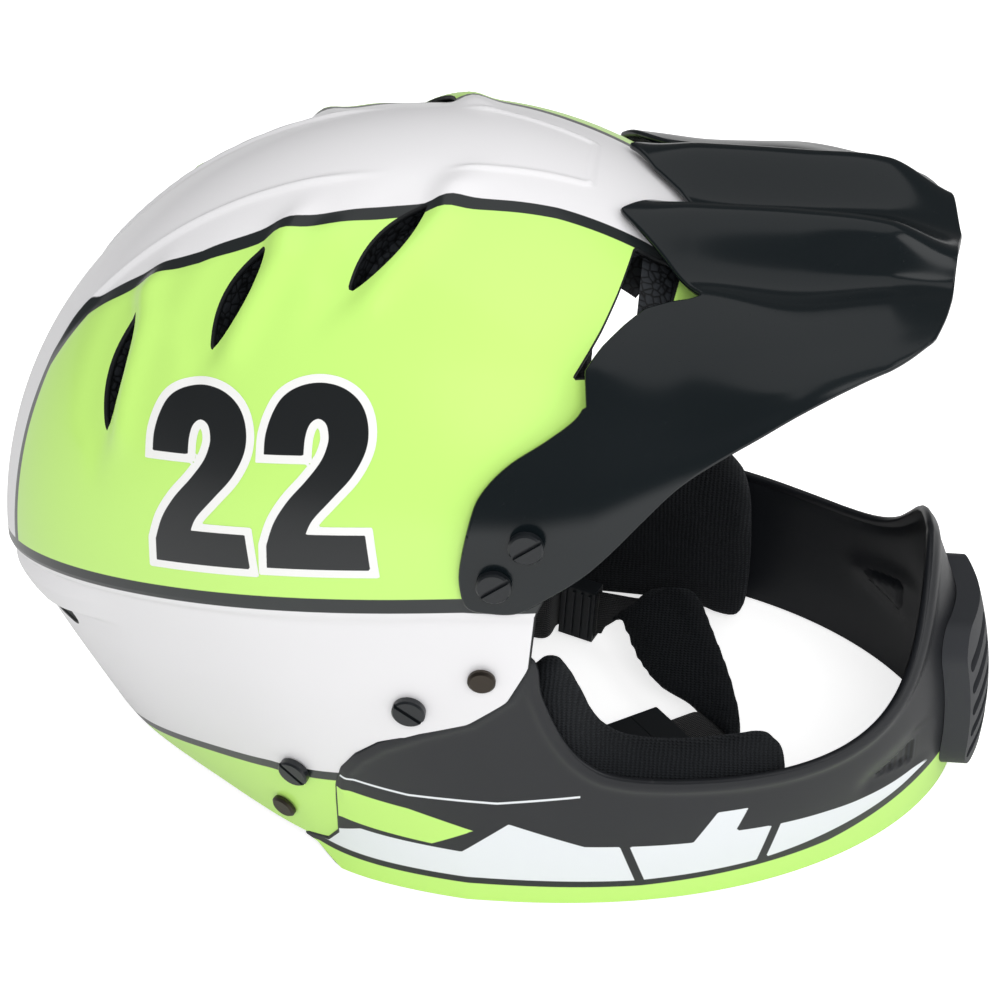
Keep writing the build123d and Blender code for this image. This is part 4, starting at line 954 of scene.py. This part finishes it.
def cushion(name, rings, node, cell=4.5, most=5.0):
    """Knit cushion: its form drawn in, remeshed and blown up by a cloth simulation, by most at the most."""
    R = np.array(rings)
    points, _, faces = closed_skin(capped(np.concatenate([R, R[:, :1]], axis=1)))
    obj = make_mesh(name, points, faces, KNIT, slot="black_knit", replaces=(node,))
    bpy.context.view_layer.objects.active = obj
    remesh = obj.modifiers.new("remesh", "REMESH")
    remesh.mode = "VOXEL"
    remesh.voxel_size = cell * MM
    remesh.use_smooth_shade = True
    bpy.ops.object.modifier_apply(modifier="remesh")
    mesh = obj.data
    start = np.empty(len(mesh.vertices) * 3)
    mesh.vertices.foreach_get("co", start)
    cloth = obj.modifiers.new("cloth", "CLOTH")
    cloth.settings.use_pressure = True
    cloth.settings.uniform_pressure_force = 4.0
    cloth.settings.effector_weights.gravity = 0
    cloth.settings.tension_stiffness = 30
    cloth.settings.compression_stiffness = 20
    cloth.settings.bending_stiffness = 2.0
    cloth.point_cache.frame_start = 1
    cloth.point_cache.frame_end = CLOTH_FRAMES
    for number in range(1, CLOTH_FRAMES + 1):
        bpy.context.scene.frame_set(number)
    bpy.ops.object.modifier_apply(modifier="cloth")
    bpy.context.scene.frame_set(1)
    end = np.empty(len(obj.data.vertices) * 3)
    obj.data.vertices.foreach_get("co", end)
    move = (end - start).reshape(-1, 3)
    size = np.linalg.norm(move, axis=1, keepdims=True)
    move *= np.minimum(1, most * MM / np.maximum(size, 1e-9))
    spot = start.reshape(-1, 3) + move
    spot[:, 2] = np.maximum(spot[:, 2], FLOOR_GAP * MM)
    obj.data.vertices.foreach_set("co", spot.ravel())
    obj.data.update()
    soften = obj.modifiers.new("soften", "SUBSURF")
    soften.levels = 1
    soften.render_levels = 1


CHEEK_RIGHT = [
    (16.0, 90.0), (21.0, 97.0), (27.0, 98.0), (34.0, 87.0), (43.0, 70.5), (55.0, 63.0), (72.0, 60.5),
    (89.0, 60.0), (98.0, 59.0), (106.0, 50.0),
]
CHEEK_LEFT = [(16.0, 86.0), (22.0, 92.0), (40.0, 86.0), (58.0, 80.0), (74.0, 74.5), (84.0, 68.0), (90.0, 56.0)]
CHEEK_ROUND = [
    (0.02, 0.2), (0.0, 0.5), (0.04, 0.8), (0.28, 0.97), (0.55, 1.0), (0.84, 0.94), (0.99, 0.78), (0.96, 0.5),
    (1.0, 0.16), (0.9, 0.02), (0.5, 0.0), (0.13, 0.04),
]
CHEEK_GAP, CHEEK_THICK = 1.2, 24.0
PAD_DRAW, PAD_THICK, PAD_INSET = 0.8, 7.5, 27.4
NAPE_HALF, NAPE_LEVEL, NAPE_RISE, NAPE_STATIONS = 48.0, 70.2, 22.5, 24


def eased(i, count, steps):
    """Rises in a quarter circle from 0 at either end of a run of stations to 1 within some steps."""
    end = min(i, count - 1 - i) / steps
    return math.sqrt(max(0.0, 1 - (1 - min(end, 1.0)) ** 2))


def cheek_rings(side, outline, foot, draw):
    """Rolled sections along the guard's inner wall, drawn in from the wall."""
    rings = []
    stations = curve(outline, 8)
    shape = curve(CHEEK_ROUND, 6, closed=True)
    for i, (x, top) in enumerate(stations):
        swell = eased(i, len(stations), 5) * 0.55 + 0.45
        ring = []
        for into, up in shape:
            z = foot + draw + (0.5 + (up - 0.5) * swell) * (top - foot - 2 * draw)
            wall = float(guard_side(np.array(x), np.array(z), GUARD_WALL)) - CHEEK_GAP - draw
            ring.append((x, side * (wall - (0.5 + (into - 0.5) * swell) * (CHEEK_THICK - 2 * draw)), z))
        rings.append(ring)
    return rings


def pad_section(share, half, place, count=40):
    """Ring of a flat pad's section: a layer at each face, joined round its edges. place gives a point of it."""
    ring = []
    across = np.linspace(-1, 1, count)
    for layer, order in ((-0.5, across), (0.5, across[::-1])):
        for a in order:
            edge = min(1.0, (1 - abs(a)) * half / (PAD_THICK * 0.7))
            rounded = share * math.sqrt(max(0.03, 1 - (1 - edge) ** 2))
            depth = PAD_INSET + PAD_THICK / 2 + layer * (PAD_THICK - PAD_DRAW) * rounded
            ring.append(place(a * (half - PAD_DRAW), depth))
    return ring


def skin_rings(rear, front, half):
    """Flat cushion on the liner's inner face between two stations, its thickness rounded off at every edge."""
    rings = []
    stations = np.linspace(rear + PAD_DRAW, front - PAD_DRAW, 16)
    for i, x in enumerate(stations):

        def place(y, depth):
            wide, belt, crown, keel, belly = (float(v) for v in shell_measure(x, depth))
            return x, y, belt + (crown - belt) * math.sqrt(max(0.0, 1 - (y / wide) ** 2))

        rings.append(pad_section(max(0.2, eased(i, len(stations), 3)), half, place))
    return rings


def nape_rings():
    """Flat cushion on the liner's inner face at the nape, from side to side."""
    rings = []
    for i, y in enumerate(np.linspace(-NAPE_HALF, NAPE_HALF, NAPE_STATIONS)):

        def place(up, depth):
            z = NAPE_LEVEL + up
            xs = np.linspace(-(REAR_REACH - depth), -60, 300)
            return float(np.interp(abs(y), shell_side(xs, np.full(300, z), depth), xs)), y, z

        rings.append(pad_section(max(0.2, eased(i, NAPE_STATIONS, 3)), NAPE_RISE, place, count=24))
    return rings


cushion("cheek_cushion_left", cheek_rings(1, CHEEK_LEFT, 0.0, 1.0), "cheek_pad_left")
cushion("cheek_cushion_right", cheek_rings(-1, CHEEK_RIGHT, 6.0, 1.5), "cheek_pad_right")
cushion("crown_cushion", skin_rings(-83.0, 16.0, 27.0), "crown_pad", most=2.5)
cushion("brow_cushion", skin_rings(19.0, 36.0, 60.0), "brow_pad", cell=3.0, most=1.5)
cushion("nape_cushion", nape_rings(), "nape_pad", most=2.0)

# Straps: stations of place and direction of width, as in the part

SHARE = np.array([GUARD_NOSE, GUARD_HALF, GUARD_CORNER])
WEB_WIDTH, WEB_THICK, WEB_TURNS = 20.0, 1.6, 41
SLIDER_HALF = 7.7
BUCKLE_GAP, BUCKLE_TRAVEL, TONGUE_LENGTH = 3.2, 12.0, 12.0
SLEEVE_HALF, SLEEVE_THICK, SLEEVE_ROLL, SLEEVE_TURNS = 16.5, 2.9, (0.9, 4.0, 13.0), 40


def unit(v):
    v = np.array(v, float)
    return v / np.linalg.norm(v)


def strap_line(places, widths):
    """Stations of a strap from shares of the guard's reach, half width and height."""
    return [(np.array(p) * SHARE, unit(w)) for p, w in zip(places, widths)]


def slider_run(place, direction, layer):
    """Two stations of a strap inside a slider, on its outer (1) or inner (-1) layer."""
    line = unit(direction)
    across = unit(np.array([0, 0, 1.0]) - line * line[2])
    middle = np.array(place) * SHARE
    outward = unit(np.cross(line, across))
    if outward[1] * middle[1] < 0:
        outward = -outward
    return [(middle + outward * layer + line * run, across) for run in (-SLIDER_HALF, SLIDER_HALF)]


LEFT_SLIDER = ((0.153, 0.49, 0.132), (0.94, -0.33, -0.06))
RIGHT_SLIDER = ((0.0, -0.645, 0.189), (0.87, 0.45, -0.1))
SLEEVE_PLACES = (
    (0.25, 0.455, 0.15), (0.325, 0.42, 0.215), (0.37, 0.26, 0.175), (0.424, 0.048, 0.142), (0.471, -0.115, 0.104),
)
SLEEVE_WIDTHS = ((0.62, -0.1, 0.78), (0.88, 0.0, 0.45), (0.93, 0.0, 0.36), (0.9, -0.3, 0.2), (0.65, -0.76, 0.0))
SLEEVE = strap_line(SLEEVE_PLACES, SLEEVE_WIDTHS)
BUCKLE_LINE = unit((-0.78, -0.62, 0.05))
BUCKLE_FLAT = unit((-BUCKLE_LINE[1], BUCKLE_LINE[0], 0))
MOUTH = SLEEVE[-1][0] + BUCKLE_LINE * (BUCKLE_GAP + BUCKLE_TRAVEL + TONGUE_LENGTH)
REAR_WIDTHS = ((0.0, 0.28, 0.96), (0.0, 0.28, 0.96), (0.0, 0.1, 1.0), (0.0, 0.0, 1.0))


def ribbon(name, line, node):
    """Woven strap: a smooth run through its stations, its section a flat oval, with fields across and along."""
    centres = curve([c for c, w in line], 10)
    widths = curve([w for c, w in line], 10)
    ahead = np.gradient(centres, axis=0)
    wide = widths / np.linalg.norm(widths, axis=1, keepdims=True)
    ahead = ahead - (ahead * wide).sum(1, keepdims=True) * wide
    up = np.cross(ahead, wide)
    up /= np.linalg.norm(up, axis=1, keepdims=True)
    angle = np.linspace(0, 2 * math.pi, WEB_TURNS)
    cos, sin = np.cos(angle), np.sin(angle)
    a = np.sign(cos) * np.abs(cos) ** 0.35 * WEB_WIDTH / 2
    b = np.sign(sin) * np.abs(sin) ** 0.6 * WEB_THICK / 2
    P = capped(centres[:, None] + wide[:, None] * a[None, :, None] + up[:, None] * b[None, :, None])
    run = np.concatenate([[0], np.cumsum(np.linalg.norm(np.diff(centres, axis=0), axis=1))])
    run = np.concatenate([run[:1], run, run[-1:]])
    down = np.repeat(run[:, None], WEB_TURNS, 1)
    across = np.repeat(a[None], len(P), 0)
    points, values, faces = closed_skin(P, [across, down])
    make_mesh(name, points, faces, WEB, None, values, ("across", "down"), "black_webbing", (node,))


LEG_WIDTHS = ((1.0, 0.0, 0.0), (1.0, 0.0, 0.0), (0.85, 0.0, 0.5), (0.4, 0.0, 0.92))
LEFT_LEG = ((0.032, 0.951, 1.028), (0.032, 0.951, 0.58), (0.053, 0.83, 0.36), (0.092, 0.65, 0.22))
RIGHT_LEG = ((0.032, -0.951, 1.028), (0.032, -0.951, 0.58), (-0.018, -0.87, 0.37), (-0.06, -0.745, 0.24))
LEFT_REAR = ((-0.425, 0.70, 0.2), (-0.33, 0.745, 0.2), (-0.12, 0.58, 0.13), (0.06, 0.44, 0.115))
RIGHT_REAR = ((-0.425, -0.70, 0.2), (-0.33, -0.745, 0.2), (-0.2, -0.725, 0.2), (-0.1, -0.69, 0.2))
MIRRORED_WIDTHS = [(a, -b, c) for a, b, c in REAR_WIDTHS]

left = strap_line(LEFT_LEG, LEG_WIDTHS) + slider_run(*LEFT_SLIDER, 1.0) + SLEEVE
left += [(MOUTH - BUCKLE_LINE * run, BUCKLE_FLAT) for run in (24.0, 3.0)]
right = strap_line(RIGHT_LEG, LEG_WIDTHS) + slider_run(*RIGHT_SLIDER, 1.0)
right += [(MOUTH + BUCKLE_LINE * run, BUCKLE_FLAT) for run in (32.0, 19.5)]
ribbon("chin_webbing_left", left, "chin_strap_left")
ribbon("chin_webbing_right", right, "chin_strap_right")
left_rear = strap_line(LEFT_REAR, REAR_WIDTHS) + slider_run(*LEFT_SLIDER, -1.0)
right_rear = strap_line(RIGHT_REAR, MIRRORED_WIDTHS) + slider_run(*RIGHT_SLIDER, -1.0)
ribbon("rear_webbing_left", left_rear, "rear_strap_left")
ribbon("rear_webbing_right", right_rear, "rear_strap_right")


def sleeve_rings():
    """Oval sections along the sleeve, fuller at its rolled front edge and gathered at both ends."""
    centres = curve([c for c, w in SLEEVE], 10)
    wide = curve([w for c, w in SLEEVE], 10)
    wide /= np.linalg.norm(wide, axis=1, keepdims=True)
    ahead = np.gradient(centres, axis=0)
    up = np.cross(ahead, wide)
    up /= np.linalg.norm(up, axis=1, keepdims=True)
    rings = []
    for i in range(len(centres)):
        swell = 0.7 + 0.3 * eased(i, len(centres), 4)
        ring = []
        for turn in np.linspace(0, 2 * math.pi, SLEEVE_TURNS, endpoint=False):
            a = math.copysign(abs(math.cos(turn)) ** 0.6, math.cos(turn)) * SLEEVE_HALF * swell
            roll = 1 + raised_line(a - SLEEVE_ROLL[2], SLEEVE_ROLL[1], SLEEVE_ROLL[0])
            b = math.copysign(abs(math.sin(turn)) ** 0.7, math.sin(turn)) * SLEEVE_THICK * roll * swell
            ring.append(centres[i] + wide[i] * a + up[i] * b)
        rings.append(ring)
    return rings


cushion("chin_sleeve", sleeve_rings(), "strap_sleeve", cell=2.6, most=1.5)

# Materials of the CAD pieces that stay

FINISH = {
    "eps_liner": FOAM, "mouth_grille": GRILLE, "visor_pivot_screws": NYLON, "visor_lock_screws": NYLON,
    "guard_screws": NYLON, "visor_nuts": STEEL, "guard_nuts": STEEL, "rivet_washers": STEEL,
    "strap_rivets": RIVET, "strap_sliders": BUCKLE, "buckle_socket": BUCKLE, "buckle_tongue": BUCKLE,
}
for node_name, material in FINISH.items():
    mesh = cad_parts[node_name].data
    mesh.materials.clear()
    mesh.materials.append(material)

# Stage: plain pale floor, soft lights, the photo's camera; places in metres

FLOOR_HALF, FLOOR_DROP, FLOOR_GLOW = 6.0, 0.0005, 0.7
WORLD_LIGHT, WORLD_MIRRORED = 0.56, 0.10
AIM = (0, 0, 0.1)
CAMERA_TURN, CAMERA_LIFT, CAMERA_AWAY, CAMERA_AIM = 6.0, 34.0, 0.960, (0, 0, 0.097)
SENSOR, LENS, PIXELS = 36.0, 97.2, 1000


def linked(name, data):
    """A new object of the data, in the scene."""
    obj = bpy.data.objects.new(name, data)
    bpy.context.scene.collection.objects.link(obj)
    return obj


def lay_floor():
    """Plain floor that shows white to the camera and still takes the shadow."""
    mesh = bpy.data.meshes.new("floor")
    corners = [(-1, -1), (1, -1), (1, 1), (-1, 1)]
    mesh.from_pydata([(a * FLOOR_HALF, b * FLOOR_HALF, -FLOOR_DROP) for a, b in corners], [], [(0, 1, 2, 3)])
    s = Shader("plain white floor", "F4F4F4", 0.9)
    seen = s.add("ShaderNodeLightPath").outputs["Is Camera Ray"]
    glow = s.math("MULTIPLY", seen, FLOOR_GLOW)
    mesh.materials.append(s.finish(Emission_Color=colour("FFFFFF"), Emission_Strength=glow))
    linked("floor", mesh)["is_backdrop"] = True


def light_world():
    """Even world light, weaker in mirrored rays and white to the camera."""
    world = bpy.data.worlds.new("studio")
    bpy.context.scene.world = world
    world.use_nodes = True
    tree = world.node_tree
    rays = tree.nodes.new("ShaderNodeLightPath")
    strength = tree.nodes.new("ShaderNodeMapRange")
    strength.inputs["To Min"].default_value = WORLD_LIGHT
    strength.inputs["To Max"].default_value = WORLD_MIRRORED
    tree.links.new(rays.outputs["Is Glossy Ray"], strength.inputs["Value"])
    seen = tree.nodes.new("ShaderNodeMath")
    seen.operation = "MAXIMUM"
    tree.links.new(rays.outputs["Is Camera Ray"], seen.inputs[0])
    tree.links.new(strength.outputs["Result"], seen.inputs[1])
    back = tree.nodes["Background"]
    back.inputs["Color"].default_value = (1, 1, 1, 1)
    tree.links.new(seen.outputs[0], back.inputs["Strength"])


def area_light(name, place, size, power, mirrored=True):
    """Soft box at a place, turned to the helmet."""
    data = bpy.data.lights.new(name, "AREA")
    data.shape = "RECTANGLE"
    data.size, data.size_y = size
    data.energy = power
    light = linked(name, data)
    light.location = place
    light.visible_glossy = mirrored
    light.rotation_euler = (Vector(AIM) - Vector(place)).to_track_quat("-Z", "Y").to_euler()
    light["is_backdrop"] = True


def set_camera():
    """The photo's camera: turned from the right side towards the front, looking down."""
    data = bpy.data.cameras.new("camera")
    data.sensor_width = SENSOR
    data.lens = LENS
    camera = linked("camera", data)
    turn, lift = math.radians(CAMERA_TURN), math.radians(CAMERA_LIFT)
    away = Vector((math.sin(turn) * math.cos(lift), -math.cos(turn) * math.cos(lift), math.sin(lift)))
    camera.location = Vector(CAMERA_AIM) + away * CAMERA_AWAY
    camera.rotation_euler = (math.pi / 2 - lift, 0, turn)
    scene = bpy.context.scene
    scene.camera = camera
    scene.render.resolution_x = PIXELS
    scene.render.resolution_y = PIXELS
    scene.view_settings.view_transform = "Standard"


lay_floor()
light_world()
area_light("key_softbox", (0.25, -1.2, 1.05), (1.1, 0.7), 11.5, mirrored=False)
area_light("top_softbox", (0.1, 0.2, 1.6), (1.8, 1.4), 4.2)
area_light("front_softbox", (1.4, -0.4, 0.9), (0.9, 1.2), 4.5)
set_camera()

first, last = ([list(map(float, corner)) for corner in box] for box in (bounds_first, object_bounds()))
